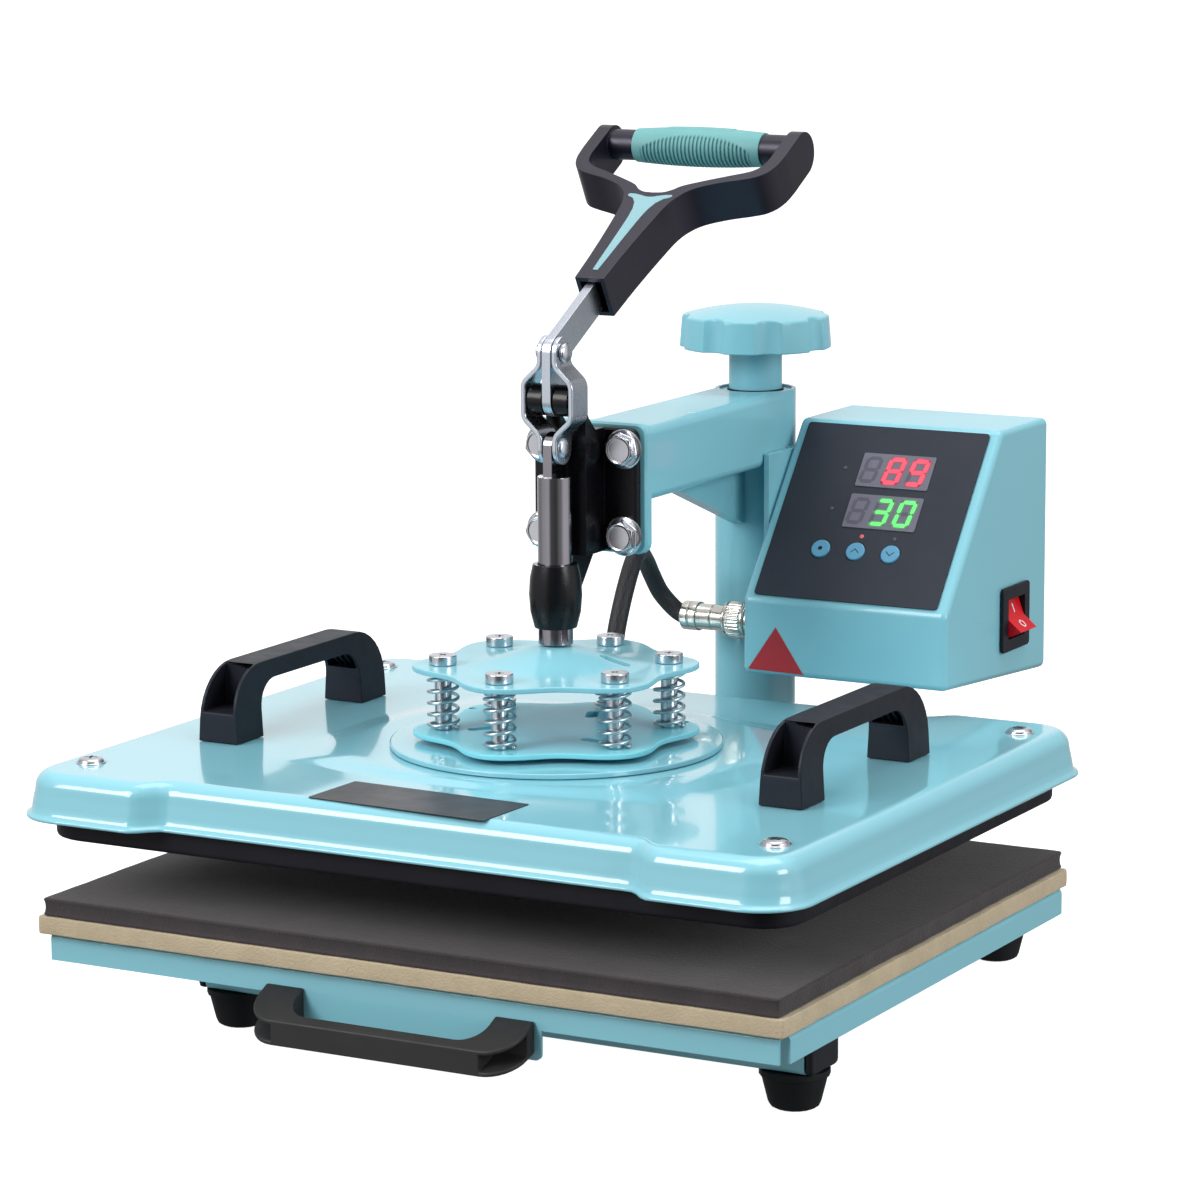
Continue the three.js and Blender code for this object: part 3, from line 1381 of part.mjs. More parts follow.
function switchBezel() {
  const [y, z] = rockerCentre();
  const face = boxLeft + boxWidth + seat;
  const rimPlan = roundedRectangle(bezelWidth, bezelHeight, bezelThick, y, z);
  const rim = sideways(rimPlan, bezelThick, face, bezelThick / 4, 2);
  const [halfY, halfZ] = [bezelWidth / 2 - bezelRim - slip, bezelHeight / 2 - bezelRim - slip];
  const [inside, outside] = [face - boxWall - rockerDeep, face + bezelThick];
  const sleeve = block(inside, outside - bezelThick / 2, y - halfY, y + halfY, z - halfZ, z + halfZ);
  const [innerY, innerZ] = [halfY - bezelWall, halfZ - bezelWall];
  const hole = block(inside - overrun, outside + overrun, y - innerY, y + innerY, z - innerZ, z + innerZ);
  const reach = innerY + trunnionReach + weldGap;
  const trunnions = barY(rockerTrunnion + slip, y - reach, y + reach, face, z, 12);
  return cut(join(rim, sleeve), hole, trunnions);
}

// The rocker seen from the side, at the on position: upper half in, lower half out
function switchRocker() {
  const [y, z] = rockerCentre();
  const face = boxLeft + boxWidth + seat;
  const high = bezelHeight / 2 - bezelRim - bezelWall - 2 * slip;
  const half = bezelWidth / 2 - bezelRim - bezelWall - 2 * slip;
  const shape = outline([
    [face - rockerFlat, z + high * 0.93], [face + rockerFlat, z],
    [face + rockerTip, z - high * 0.62], [face + rockerTip * 0.35, z - high * 0.9],
    [face - rockerDeep * 0.5, z - high * 0.8], [face - rockerDeep * 0.7, z + high * 0.5],
  ]);
  const reach = half + slip + trunnionReach;
  const trunnions = barY(rockerTrunnion, y - reach, y + reach, face, z, 12);
  return join(frontwards(shape, 2 * half, y + half, 0, 2), trunnions);
}

// Round screw-on connector lying along X, and the cable that leaves it
function cableConnector() {
  const steps = [
    [connectorFlangeRadius, connectorFlangeThick], [connectorThreadRadius, connectorThreadLength],
    [connectorNutRadius, connectorNutLength], [connectorBodyRadius, connectorBodyLength],
    [connectorClampRadius, connectorClampLength],
  ];
  const profile = [[0, 0]];
  let along = 0;
  for (const [radius, length] of steps) {
    profile.push([radius, along]);
    along += length;
    profile.push([radius, along]);
  }
  profile.push([0, along]);
  const geometry = new THREE.LatheGeometry(profile.map(([r, x]) => new THREE.Vector2(r, x)), 20);
  geometry.rotateZ(Math.PI / 2);
  geometry.translate(boxLeft - seat, connectorY, connectorZ);
  return solidOf(geometry);
}

function heaterCable() {
  const places = cableRoute.map((place) => new THREE.Vector3(...place));
  const curve = new THREE.CatmullRomCurve3(places, false, 'centripetal');
  const sides = 8;
  const section = Array.from({ length: sides }, (_, i) => polar(cableRadius, (i * 2 * Math.PI) / sides));
  const settings = { steps: 26, extrudePath: curve, bevelEnabled: false };
  return solidOf(new THREE.ExtrudeGeometry(outline(section), settings));
}

function buildControls() {
  add('control_box', controlBox(), 'teal');
  add('box_back', boxBack(), 'teal');
  add('control_panel', controlPanel(), 'panel');
  const words = ['set', 'up', 'down'];
  buttonPlaces().forEach(([x, u], i) => add(`button_${words[i]}`, panelButton(x, u), 'button'));
  add('switch_bezel', switchBezel(), 'black');
  add('switch_rocker', switchRocker(), 'red');
  add('cable_connector', cableConnector(), 'steel');
  add('heater_cable', heaterCable(), 'rubber');
}

buildBase();
buildDrawer();
buildColumn();
buildArm();
buildLinkage();
buildHead();
buildControls();

console.log(`least gap between spring turns ${springGap().toFixed(2)} mm`);

// The origin is at the middle of the footprint, on the floor
const bounds = new THREE.Box3().setFromObject(press);
press.position.set(-(bounds.min.x + bounds.max.x) / 2, -(bounds.min.y + bounds.max.y) / 2, -bounds.min.z);

export default press;
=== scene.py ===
import math

import bpy
import numpy as np
from mathutils import Matrix, Vector


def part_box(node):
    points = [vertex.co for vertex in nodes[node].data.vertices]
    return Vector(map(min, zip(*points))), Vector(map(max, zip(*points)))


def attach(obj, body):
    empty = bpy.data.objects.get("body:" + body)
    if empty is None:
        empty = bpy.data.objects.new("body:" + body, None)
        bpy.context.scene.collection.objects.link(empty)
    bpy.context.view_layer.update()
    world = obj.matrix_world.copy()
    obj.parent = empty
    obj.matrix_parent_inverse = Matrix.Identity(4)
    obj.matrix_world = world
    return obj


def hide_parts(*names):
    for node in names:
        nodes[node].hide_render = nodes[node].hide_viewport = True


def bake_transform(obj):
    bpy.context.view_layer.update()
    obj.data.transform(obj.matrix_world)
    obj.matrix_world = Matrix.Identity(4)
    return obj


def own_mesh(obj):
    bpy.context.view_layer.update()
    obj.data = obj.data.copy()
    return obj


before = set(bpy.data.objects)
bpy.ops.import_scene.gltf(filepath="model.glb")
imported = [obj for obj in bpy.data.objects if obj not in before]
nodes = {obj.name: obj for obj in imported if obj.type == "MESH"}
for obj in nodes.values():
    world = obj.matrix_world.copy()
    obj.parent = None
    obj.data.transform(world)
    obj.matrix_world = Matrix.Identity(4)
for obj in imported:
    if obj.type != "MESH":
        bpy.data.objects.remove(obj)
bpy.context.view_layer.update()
print("frame loaded with", len(nodes), "nodes")

# Places that several pieces share, in millimetres; the pad's middle carries all the others
padLow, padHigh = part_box("foam_pad")
padY = 500 * (padLow[1] + padHigh[1])
press = {
    "plungerY": padY - 4.5,
    "columnY": padY + 198.0,
    "coverTop": 138.0,
    "crownTop": 140.4,
    "handleOrigin": (0.0, padY + 36.17, 345.043),
    "handleSlope": 29.0,
    "panelOrigin": (0.0, padY + 137.0, 188.1),
    "panelLean": 51.444,
    "keys": [(57.3, 30.0), (75.8, 30.0), (94.3, 30.0)],
}


# Camera: stands front right of the press, a little above it
camera = {
    "place": (999.19, padY - 1774.54, 576.03),
    "azimuth": 28.871,
    "elevation": 10.266,
    "roll": -0.288,
    "lens": 135.097,
    "sensor": 36.0,
}


def addCamera(settings):
    # right, up and back are the camera's own axes, turned by azimuth, elevation and roll
    a, e, r = (math.radians(settings[k]) for k in ("azimuth", "elevation", "roll"))
    back = np.array([math.sin(a) * math.cos(e), -math.cos(a) * math.cos(e), math.sin(e)])
    level = np.array([math.cos(a), math.sin(a), 0.0])
    upright = np.cross(back, level)
    right = math.cos(r) * level + math.sin(r) * upright
    up = -math.sin(r) * level + math.cos(r) * upright
    data = bpy.data.cameras.new("camera")
    data.lens = settings["lens"]
    data.sensor_width = settings["sensor"]
    data.clip_end = 50
    obj = bpy.data.objects.new("camera", data)
    bpy.context.scene.collection.objects.link(obj)
    turn = Matrix([[right[i], up[i], back[i]] for i in range(3)]).to_4x4()
    obj.matrix_world = Matrix.Translation(Vector(settings["place"]) / 1000) @ turn
    bpy.context.scene.camera = obj


addCamera(camera)


# Mesh building
def link(name, mesh):
    obj = bpy.data.objects.new(name, mesh)
    bpy.context.scene.collection.objects.link(obj)
    return obj


def meshFrom(name, points, faceSets, smooth=True):
    # points in millimetres; each face set is an array of rows of three or four corners
    mesh = bpy.data.meshes.new(name)
    corners = np.concatenate([f.ravel() for f in faceSets]).astype(np.int32)
    sizes = np.concatenate([np.full(len(f), f.shape[1]) for f in faceSets])
    starts = np.concatenate([[0], np.cumsum(sizes)[:-1]]).astype(np.int32)
    mesh.vertices.add(len(points))
    mesh.loops.add(len(corners))
    mesh.polygons.add(len(sizes))
    mesh.vertices.foreach_set("co", (np.asarray(points, float) / 1000).ravel())
    mesh.loops.foreach_set("vertex_index", corners)
    mesh.polygons.foreach_set("loop_start", starts)
    mesh.polygons.foreach_set("use_smooth", np.full(len(sizes), smooth))
    mesh.update(calc_edges=True)
    mesh.validate()
    return link(name, mesh)


def surface(name, grid, caps=True):
    # grid[i, j] is the point at step i along and step j round; quads join neighbours.
    # A fan closes each end; without caps the last step along joins the first, as on a ring
    rows, cols = grid.shape[:2]
    i, j = np.meshgrid(np.arange(rows - 1 if caps else rows), np.arange(cols), indexing="ij")
    k, m = (j + 1) % cols, (i + 1) % rows
    quads = np.stack([i * cols + j, i * cols + k, m * cols + k, m * cols + j], -1).reshape(-1, 4)
    points = grid.reshape(-1, 3)
    sets = [quads]
    if caps:
        points = np.concatenate([points, np.stack([grid[0].mean(0), grid[-1].mean(0)])])
        c = np.arange(cols)
        n = (c + 1) % cols
        last = (rows - 1) * cols
        sets.append(np.stack([np.full(cols, rows * cols), n, c], -1))
        sets.append(np.stack([np.full(cols, rows * cols + 1), last + c, last + n], -1))
    return meshFrom(name, points, sets)


def fullTurn(count):
    return np.linspace(0, 2 * np.pi, count, endpoint=False)


def quarterTurn(count):
    return np.linspace(0, np.pi / 2, count)


def circle(count, phase=0):
    # points of a circle of radius 1
    t = fullTurn(count) + phase
    return np.c_[np.cos(t), np.sin(t)]


def bendSteps(r, count):
    # a quarter round edge as pairs of (inset, rise), from the face below to the wall
    return [(r * (1 - math.sin(b)), r * (1 - math.cos(b))) for b in quarterTurn(count)]


def wound(name, rows, t, centre, axis="z", caps=True):
    # rows of (radius, height) about an axis, at r cos t and r sin t across it; both may change with t.
    # The axis y points to the front
    r, h = (np.array([np.broadcast_to(row[k], len(t)) for row in rows], float) for k in (0, 1))
    a, b = r * np.cos(t), r * np.sin(t)
    order = {"z": (a, b, h), "x": (h, a, b), "y": (a, -h, b)}[axis]
    return surface(name, np.stack(order, -1) + np.asarray(centre, float), caps)


def lathed(name, profile, centre, axis="z", steps=64, caps=True):
    # a plain profile of (radius, height) turned about an axis
    return wound(name, profile, fullTurn(steps), centre, axis, caps)


def rounded(profile, radius, steps=4):
    # each inner corner of a profile becomes a quadratic curve between two points pulled back along its sides
    profile = np.asarray(profile, float)
    out = [profile[:1]]
    s = np.linspace(0, 1, steps + 1)[:, None]
    for a, b, c in zip(profile[:-2], profile[1:-1], profile[2:]):
        la, lc = np.linalg.norm(a - b), np.linalg.norm(c - b)
        p = b + (a - b) * min(radius / max(la, 1e-9), 0.45)
        q = b + (c - b) * min(radius / max(lc, 1e-9), 0.45)
        out.append((1 - s) ** 2 * p + 2 * s * (1 - s) * b + s**2 * q)
    out.append(profile[-1:])
    return np.concatenate(out)


def ringAlong(path, radius, sides, up):
    # circles square to the path: centre + radius (cos t side + sin t over), side = tangent x up
    tangent = np.gradient(path, axis=0)
    tangent /= np.linalg.norm(tangent, axis=1)[:, None]
    side = np.cross(tangent, np.asarray(up, float))
    side /= np.linalg.norm(side, axis=1)[:, None]
    over = np.cross(tangent, side)
    t = fullTurn(sides)
    ring = np.cos(t)[None, :, None] * side[:, None] + np.sin(t)[None, :, None] * over[:, None]
    return path[:, None] + np.asarray(radius, float).reshape(-1, 1, 1) * ring


def cornerArcs(r, steps):
    # quarter circles for the corners of a rectangle, counter clockwise from the right rear one
    q = quarterTurn(steps)
    arc = np.c_[np.cos(q), np.sin(q)] * r
    turn = np.array([[0, -1], [1, 0]])
    return arc, arc @ turn.T, -arc, arc @ turn


def roundedBox(x0, x1, u0, u1, r, steps=5):
    centres = ((x1 - r, u1 - r), (x0 + r, u1 - r), (x0 + r, u0 + r), (x1 - r, u0 + r))
    return np.concatenate([arc + centre for arc, centre in zip(cornerArcs(r, steps), centres)])


def sidedBox(hx, hy, r, steps, sides):
    # a rounded box about the origin whose four sides have points of their own, given from the rear one on
    centres = ((hx - r, hy - r), (r - hx, hy - r), (r - hx, r - hy), (hx - r, r - hy))
    parts = zip(cornerArcs(r, steps), centres, sides)
    return np.concatenate([piece for arc, centre, side in parts for piece in (arc + centre, side)])


def level(flat, z):
    # flat points at one height
    return np.c_[flat, np.full(len(flat), z)]


def turned(flat, angle):
    # flat points turned counter clockwise about the origin
    c, s = math.cos(angle), math.sin(angle)
    return flat @ np.array([[c, s], [-s, c]])


def splineThrough(points, count):
    # centripetal Catmull-Rom through the points, sampled evenly in length: neighbours are blended between
    # their knots, and the blends again, until one is left
    p = np.asarray(points, float)
    p = np.concatenate([[2 * p[0] - p[1]], p, [2 * p[-1] - p[-2]]])
    knots = np.concatenate([[0], np.cumsum(np.sqrt(np.linalg.norm(np.diff(p, axis=0), axis=1)))])
    out = []
    for i in range(1, len(p) - 2):
        t = np.linspace(knots[i], knots[i + 1], 24, endpoint=False)[:, None]
        k = knots[i - 1:i + 3]
        row = p[i - 1:i + 3]
        for spans in (((0, 1), (1, 2), (2, 3)), ((0, 2), (1, 3)), ((1, 2),)):
            row = [(k[b] - t) / (k[b] - k[a]) * start + (t - k[a]) / (k[b] - k[a]) * end
                   for (a, b), start, end in zip(spans, row[:-1], row[1:])]
        out.append(row[0])
    out = np.concatenate(out + [p[-2:-1]])
    along = np.concatenate([[0], np.cumsum(np.linalg.norm(np.diff(out, axis=0), axis=1))])
    even = np.linspace(0, along[-1], count)
    return np.stack([np.interp(even, along, out[:, i]) for i in range(3)], -1), even


def smoothStep(t):
    u = np.clip(t, 0, 1)
    return u * u * (3 - 2 * u)


def prism(name, outline, low, high, bevel=0.0):
    # a flat outline in x and y, stood up between two heights
    flat = np.asarray(outline, float)
    count = len(flat)
    points = np.concatenate([level(flat, low), level(flat, high)])
    c = np.arange(count)
    n = (c + 1) % count
    walls = np.stack([c, n, n + count, c + count], -1)
    obj = meshFrom(name, points, [walls, c[::-1][None], (c + count)[None]], False)
    if bevel:
        addBevel(obj, bevel)
    return obj


def addBevel(obj, width, segments=2, angle=35):
    mod = obj.modifiers.new("edges", "BEVEL")
    mod.width = width / 1000
    mod.segments = segments
    mod.limit_method = "ANGLE"
    mod.angle_limit = math.radians(angle)
    return mod


def evenShade(obj):
    # large faces keep their own direction of light, and narrow edge faces follow them
    obj.modifiers.new("shade", "NODES").node_group = shadeByAngle
    mod = obj.modifiers.new("normals", "WEIGHTED_NORMAL")
    mod.mode = "FACE_AREA"
    mod.weight = 50
    mod.keep_sharp = True
    return obj


def bake(obj):
    # the modifiers' result becomes the mesh
    graph = bpy.context.evaluated_depsgraph_get()
    mesh = bpy.data.meshes.new_from_object(obj.evaluated_get(graph))
    obj.modifiers.clear()
    obj.data = mesh
    return obj


def placeMesh(obj, origin, xAxis, yAxis, zAxis):
    # the mesh's own x, y and z go along the three axes from the origin, in millimetres
    turn = Matrix([[xAxis[i], yAxis[i], zAxis[i]] for i in range(3)]).to_4x4()
    obj.data.transform(Matrix.Translation(Vector(origin) / 1000) @ turn)
    return obj


def tilted(obj, origin, degrees):
    # laid on a plane through the origin that rises to the rear by the angle
    c, s = math.cos(math.radians(degrees)), math.sin(math.radians(degrees))
    return placeMesh(obj, origin, (1, 0, 0), (0, c, s), (0, -s, c))


def ontoPanel(obj):
    return tilted(obj, press["panelOrigin"], press["panelLean"])


def ontoHandle(obj):
    return tilted(obj, press["handleOrigin"], press["handleSlope"])


def shapeWith(obj, *steps):
    # each step is a cutter and the way it acts; the cutters are removed once the result is the mesh
    for cutter, way in steps:
        mod = obj.modifiers.new("shape", "BOOLEAN")
        mod.operation = way
        mod.solver = "EXACT"
        mod.object = cutter
    bake(obj)
    for cutter, way in steps:
        bpy.data.objects.remove(cutter)
    return obj


def cutWith(obj, cutters):
    return evenShade(shapeWith(obj, *((cutter, "DIFFERENCE") for cutter in cutters)))


def crossCutter(x, y, low, high, reach, half, turnBy):
    # an upright cross for the recess of a screw: arms of length reach and width 2 half
    arm = np.array([(half, half), (half, reach), (-half, reach)])
    turn = np.array([[0, 1], [-1, 0]])
    corners = np.concatenate([arm, arm @ turn, -arm, arm @ turn.T])
    return prism("crossCut", turned(corners, turnBy) + (x, y), low, high)


def carry(obj, body, material, replaced=()):
    obj.data.materials.clear()
    obj.data.materials.append(material)
    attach(obj, body)
    if replaced:
        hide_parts(*replaced)
    return obj


# Materials
class Wiring:
    # a small hand for wiring nodes: node(kind, settings) adds one, wire(a, b) joins two sockets
    def __init__(self, holder):
        holder.use_nodes = True
        self.tree = holder.node_tree

    def node(self, kind, **settings):
        made = self.tree.nodes.new("ShaderNode" + kind)
        for key, value in settings.items():
            if key in made.inputs:
                made.inputs[key].default_value = value
            else:
                setattr(made, key, value)
        return made

    def wire(self, a, b):
        self.tree.links.new(a, b)

    def maths(self, way, *sources):
        made = self.node("Math", operation=way)
        for source, socket in zip(sources, made.inputs):
            self.wire(source, socket)
        return made.outputs[0]


class Finish(Wiring):
    def __init__(self, name):
        self.material = bpy.data.materials.new(name)
        super().__init__(self.material)
        self.shader = self.tree.nodes["Principled BSDF"]
        self.coords = self.node("TexCoord")

    def noise(self, scale, detail=3.0, rough=0.55, stretch=(1, 1, 1), source=None):
        mapping = self.node("Mapping", Scale=stretch)
        self.wire(source or self.coords.outputs["Object"], mapping.inputs["Vector"])
        made = self.node("TexNoise", Scale=scale, Detail=detail, Roughness=rough)
        self.wire(mapping.outputs["Vector"], made.inputs["Vector"])
        return made.outputs["Fac"]

    def spread(self, source, low, high, fromLow=0.3, fromHigh=0.7):
        ends = {"From Min": fromLow, "From Max": fromHigh, "To Min": low, "To Max": high}
        made = self.node("MapRange", **ends)
        self.wire(source, made.inputs["Value"])
        return made.outputs["Result"]

    def colours(self, source, first, second, low=0.35, high=0.65):
        ramp = self.node("ValToRGB")
        for stop, place, colour in zip(ramp.color_ramp.elements, (low, high), (first, second)):
            stop.position = place
            stop.color = (*colour, 1)
        self.wire(source, ramp.inputs["Fac"])
        self.wire(ramp.outputs["Color"], self.shader.inputs["Base Color"])

    def bump(self, source, strength, distance, below=None):
        made = self.node("Bump", Strength=strength, Distance=distance)
        self.wire(source, made.inputs["Height"])
        if below:
            self.wire(below.outputs["Normal"], made.inputs["Normal"])
        self.wire(made.outputs["Normal"], self.shader.inputs["Normal"])
        return made

    def set(self, **values):
        for key, value in values.items():
            self.shader.inputs[key.replace("_", " ")].default_value = value


def paintFinish(name, colour, deep, rough=0.26, coat=0.3, shine=0.3):
    # powder coat: slight orange peel, a little drift in tone, clear coat on top
    f = Finish(name)
    f.set(Roughness=rough, Coat_Weight=coat, Coat_Roughness=0.06, Specular_IOR_Level=shine)
    f.colours(f.noise(5, 2), deep, colour, 0.1, 0.9)
    f.wire(f.spread(f.noise(30, 2), rough * 0.9, rough * 1.12, 0, 1), f.shader.inputs["Roughness"])
    f.bump(f.noise(260, 1), 0.012, 0.0003)
    return f.material


def plasticFinish(name, colour, deep, rough=0.48, grain=900, depth=0.12, shine=0.3, tint=(1, 1, 1)):
    # moulded plastic with a fine spark-eroded grain
    f = Finish(name)
    f.set(Specular_IOR_Level=shine, Specular_Tint=(*tint, 1))
    f.colours(f.noise(30, 3), deep, colour)
    f.wire(f.spread(f.noise(80, 4), rough * 0.88, rough * 1.12), f.shader.inputs["Roughness"])
    f.bump(f.noise(grain, 2), depth, 0.0003)
    return f.material


def steelFinish(name, colour, rough, stretch, streak=260, depth=0.05):
    # plated steel: fine lines along one way, over broad cloudy tones
    f = Finish(name)
    f.set(Metallic=1.0)
    f.colours(f.noise(40, 4), tuple(c * 0.93 for c in colour), colour)
    lines = f.noise(streak, 4, 0.6, stretch)
    f.wire(f.spread(lines, rough * 0.92, rough * 1.1, 0, 1), f.shader.inputs["Roughness"])
    f.bump(lines, depth, 0.0003)
    return f.material


def foamFinish(name, colour, deep, scale, depth, rough=0.9):
    # open sponge: small pits from cells over soft mottling
    f = Finish(name)
    f.set(Roughness=rough, Specular_IOR_Level=0.25, Sheen_Weight=0.15, Sheen_Roughness=0.6)
    f.colours(f.noise(55, 5, 0.7), deep, colour, 0.3, 0.7)
    cells = f.node("TexVoronoi", Scale=scale)
    f.wire(f.coords.outputs["Object"], cells.inputs["Vector"])
    low = f.bump(cells.outputs["Distance"], depth, 0.0006)
    f.bump(f.noise(scale * 0.7, 3), depth * 0.6, 0.0006, low)
    return f.material


def lightFinish(name, colour, strength, rough=0.3):
    f = Finish(name)
    f.set(Roughness=rough, Emission_Strength=strength)
    f.shader.inputs["Emission Color"].default_value = (*colour, 1)
    f.colours(f.noise(200, 2), tuple(c * 0.8 for c in colour), colour)
    return f.material


paint = paintFinish("tealPowderCoat", (0.225, 0.530, 0.620), (0.213, 0.508, 0.596))
# painted light: a lighter, more saturated copy of the teal paint for the lower plate, which lies in the upper
# plate's shade
paintedLightTeal = paintFinish("tealPaintedLightCoat", (0.220, 0.640, 0.740), (0.210, 0.620, 0.720), 0.3, 0.08, 0.1)
glossPaint = paintFinish("tealGlossCoat", (0.225, 0.530, 0.620), (0.213, 0.508, 0.596), 0.2, 0.9)
blackPlastic = plasticFinish("blackPlastic", (0.0095, 0.0095, 0.0145), (0.0075, 0.0075, 0.0115), 0.46,
                             tint=(0.72, 0.84, 1))
handlePlastic = plasticFinish("handlePlastic", (0.0095, 0.0080, 0.0150), (0.0075, 0.0064, 0.0120), 0.36,
                              900, 0.08, 0.5, (0.86, 0.82, 1))
charcoalPlastic = plasticFinish("charcoalPlastic", (0.026, 0.026, 0.027), (0.021, 0.021, 0.022), 0.5)
footRubber = plasticFinish("footRubber", (0.012, 0.013, 0.015), (0.008, 0.009, 0.010), 0.62, 700, 0.2, 0.2)
castingPaint = plasticFinish("castingPaint", (0.0040, 0.0040, 0.0055), (0.0022, 0.0022, 0.0034), 0.27,
                             260, 0.22, 0.28)
platenCoat = plasticFinish("platenCoat", (0.0085, 0.0085, 0.0135), (0.006, 0.006, 0.010), 0.5, 500, 0.15, 0.2)
zinc = steelFinish("zincPlate", (0.62, 0.63, 0.67), 0.22, (1, 1, 1), 260, 0.006)
nickel = steelFinish("nickelPlate", (0.62, 0.60, 0.55), 0.2, (1, 1, 1), 260, 0.006)
barSteel = steelFinish("brushedBar", (0.64, 0.68, 0.76), 0.27, (8, 1, 0.25), 200, 0.005)
plateSteel = steelFinish("dullPlate", (0.42, 0.43, 0.46), 0.45, (1, 1, 1), 200, 0.01)
rodSteel = steelFinish("groundRod", (0.32, 0.31, 0.34), 0.12, (1, 1, 12), 120, 0.006)
springSteel = steelFinish("springWire", (0.60, 0.66, 0.69), 0.32, (1, 1, 1), 500, 0.006)
padFoam = foamFinish("greySponge", (0.046, 0.038, 0.041), (0.032, 0.027, 0.030), 900, 0.35)
boardCore = foamFinish("paleBoard", (0.52, 0.435, 0.30), (0.44, 0.36, 0.24), 900, 0.3)
sleeveRubber = plasticFinish("tealRubber", (0.150, 0.375, 0.382), (0.138, 0.350, 0.358), 0.5, 900, 0.05)
inlayPlastic = plasticFinish("paleInlay", (0.225, 0.41, 0.455), (0.21, 0.385, 0.43), 0.4, 900, 0.04)
panelFilm = plasticFinish("panelFilm", (0.029, 0.033, 0.046), (0.026, 0.030, 0.042), 0.42, 1200, 0.03, 0.2)
buttonBlue = plasticFinish("blueButton", (0.105, 0.310, 0.470), (0.095, 0.290, 0.440), 0.42, 900, 0.04)
labelFilm = plasticFinish("blankPlate", (0.034, 0.035, 0.042), (0.029, 0.030, 0.036), 0.35, 900, 0.03)
redFilm = plasticFinish("redFilm", (0.42, 0.035, 0.045), (0.37, 0.03, 0.04), 0.35, 900, 0.05)
redGloss = plasticFinish("redRocker", (0.66, 0.012, 0.022), (0.60, 0.010, 0.018), 0.3, 200, 0.02, 0.2)
whiteMark = plasticFinish("whiteMark", (0.85, 0.85, 0.86), (0.78, 0.78, 0.8), 0.4)
# painted shade: near-black for the key marks, standing in for the shade inside recessed arrows and a dot
recessShadeMark = plasticFinish("paintedRecessShade", (0.008, 0.008, 0.010), (0.005, 0.005, 0.006), 0.6)
displayGlass = plasticFinish("displayWindow", (0.150, 0.146, 0.185), (0.138, 0.134, 0.172), 0.3, 500, 0.02)
dimSegment = plasticFinish("dimSegment", (0.098, 0.095, 0.125), (0.090, 0.088, 0.115), 0.3)
redLight = lightFinish("redSegment", (0.95, 0.060, 0.095), 0.9)
greenLight = lightFinish("greenSegment", (0.11, 0.72, 0.15), 0.75)
redGlow = lightFinish("redGlow", (0.30, 0.055, 0.085), 0.5)
greenGlow = lightFinish("greenGlow", (0.085, 0.20, 0.10), 0.45)
lampRed = lightFinish("litLamp", (0.55, 0.10, 0.12), 0.35)
lampOff = plasticFinish("dimLamp", (0.075, 0.072, 0.080), (0.06, 0.058, 0.065), 0.3)
print("materials made")


def smoothGroup(angle):
    # joins loose triangles, shades them smooth and keeps edges above the angle sharp
    group = bpy.data.node_groups.new("joinAndShade", "GeometryNodeTree")
    group.interface.new_socket("Geometry", in_out="INPUT", socket_type="NodeSocketGeometry")
    group.interface.new_socket("Geometry", in_out="OUTPUT", socket_type="NodeSocketGeometry")
    make = group.nodes.new
    start, end = make("NodeGroupInput"), make("NodeGroupOutput")
    faces, edges = make("GeometryNodeSetShadeSmooth"), make("GeometryNodeSetShadeSmooth")
    edges.domain = "EDGE"
    turn, above = make("GeometryNodeInputMeshEdgeAngle"), make("FunctionNodeCompare")
    above.operation = "LESS_THAN"
    above.inputs["B"].default_value = math.radians(angle)
    join = group.links.new
    join(start.outputs[0], faces.inputs["Geometry"])
    join(faces.outputs[0], edges.inputs["Geometry"])
    join(turn.outputs["Unsigned Angle"], above.inputs["A"])
    join(above.outputs["Result"], edges.inputs["Shade Smooth"])
    join(edges.outputs[0], end.inputs[0])
    return group


shadeByAngle = smoothGroup(38)


def soften(obj, edge, segments=2):
    weld = obj.modifiers.new("join", "WELD")
    weld.merge_threshold = 0.00001
    flat = obj.modifiers.new("flatten", "DECIMATE")
    flat.decimate_type = "DISSOLVE"
    flat.angle_limit = math.radians(0.4)
    if edge:
        addBevel(obj, edge, segments)
    evenShade(obj)


def dress(name, material, edge):
    obj = nodes[name]
    obj.data.materials.clear()
    obj.data.materials.append(material)
    soften(obj, edge)


def pair(stem):
    return [stem + "_left", stem + "_right"]


# CAD nodes that stay: their finish, the width of their softened edges and their names
stay = [
    (paint, 0.35, pair("base_rail") + ["front_crossbar", "rear_crossbar", "drawer_tray", "column_tube",
                                       "arm_beam", "arm_end_plate", "box_back"]),
    (zinc, 0.2, pair("slide_channel") + ["thrust_collar"]),
    (zinc, 0.3, ["pivot_pin", "link_rivet"]),
    (barSteel, 0.5, ["lever_bar"]),
    (plateSteel, 0.2, ["inner_post"]),
    (rodSteel, 0.25, ["plunger_rod"]),
    (footRubber, 0.5, pair("foot_front") + pair("foot_rear")),
    (blackPlastic, 0.3, pair("end_cap_front") + pair("end_cap_rear") + ["switch_bezel"]),
    (blackPlastic, 0.6, pair("side_handle")),
    (charcoalPlastic, 0.7, ["drawer_pull"]),
    (castingPaint, 0.5, ["clamp_bracket"]),
    (platenCoat, 0.3, ["heat_platen"]),
    (panelFilm, 0.15, ["control_panel"]),
    (redGloss, 0.4, ["switch_rocker"]),
    (buttonBlue, 0.2, ["button_set", "button_up", "button_down"]),
]
for material, edge, names in stay:
    for name in names:
        dress(name, material, edge)
print("CAD nodes dressed")


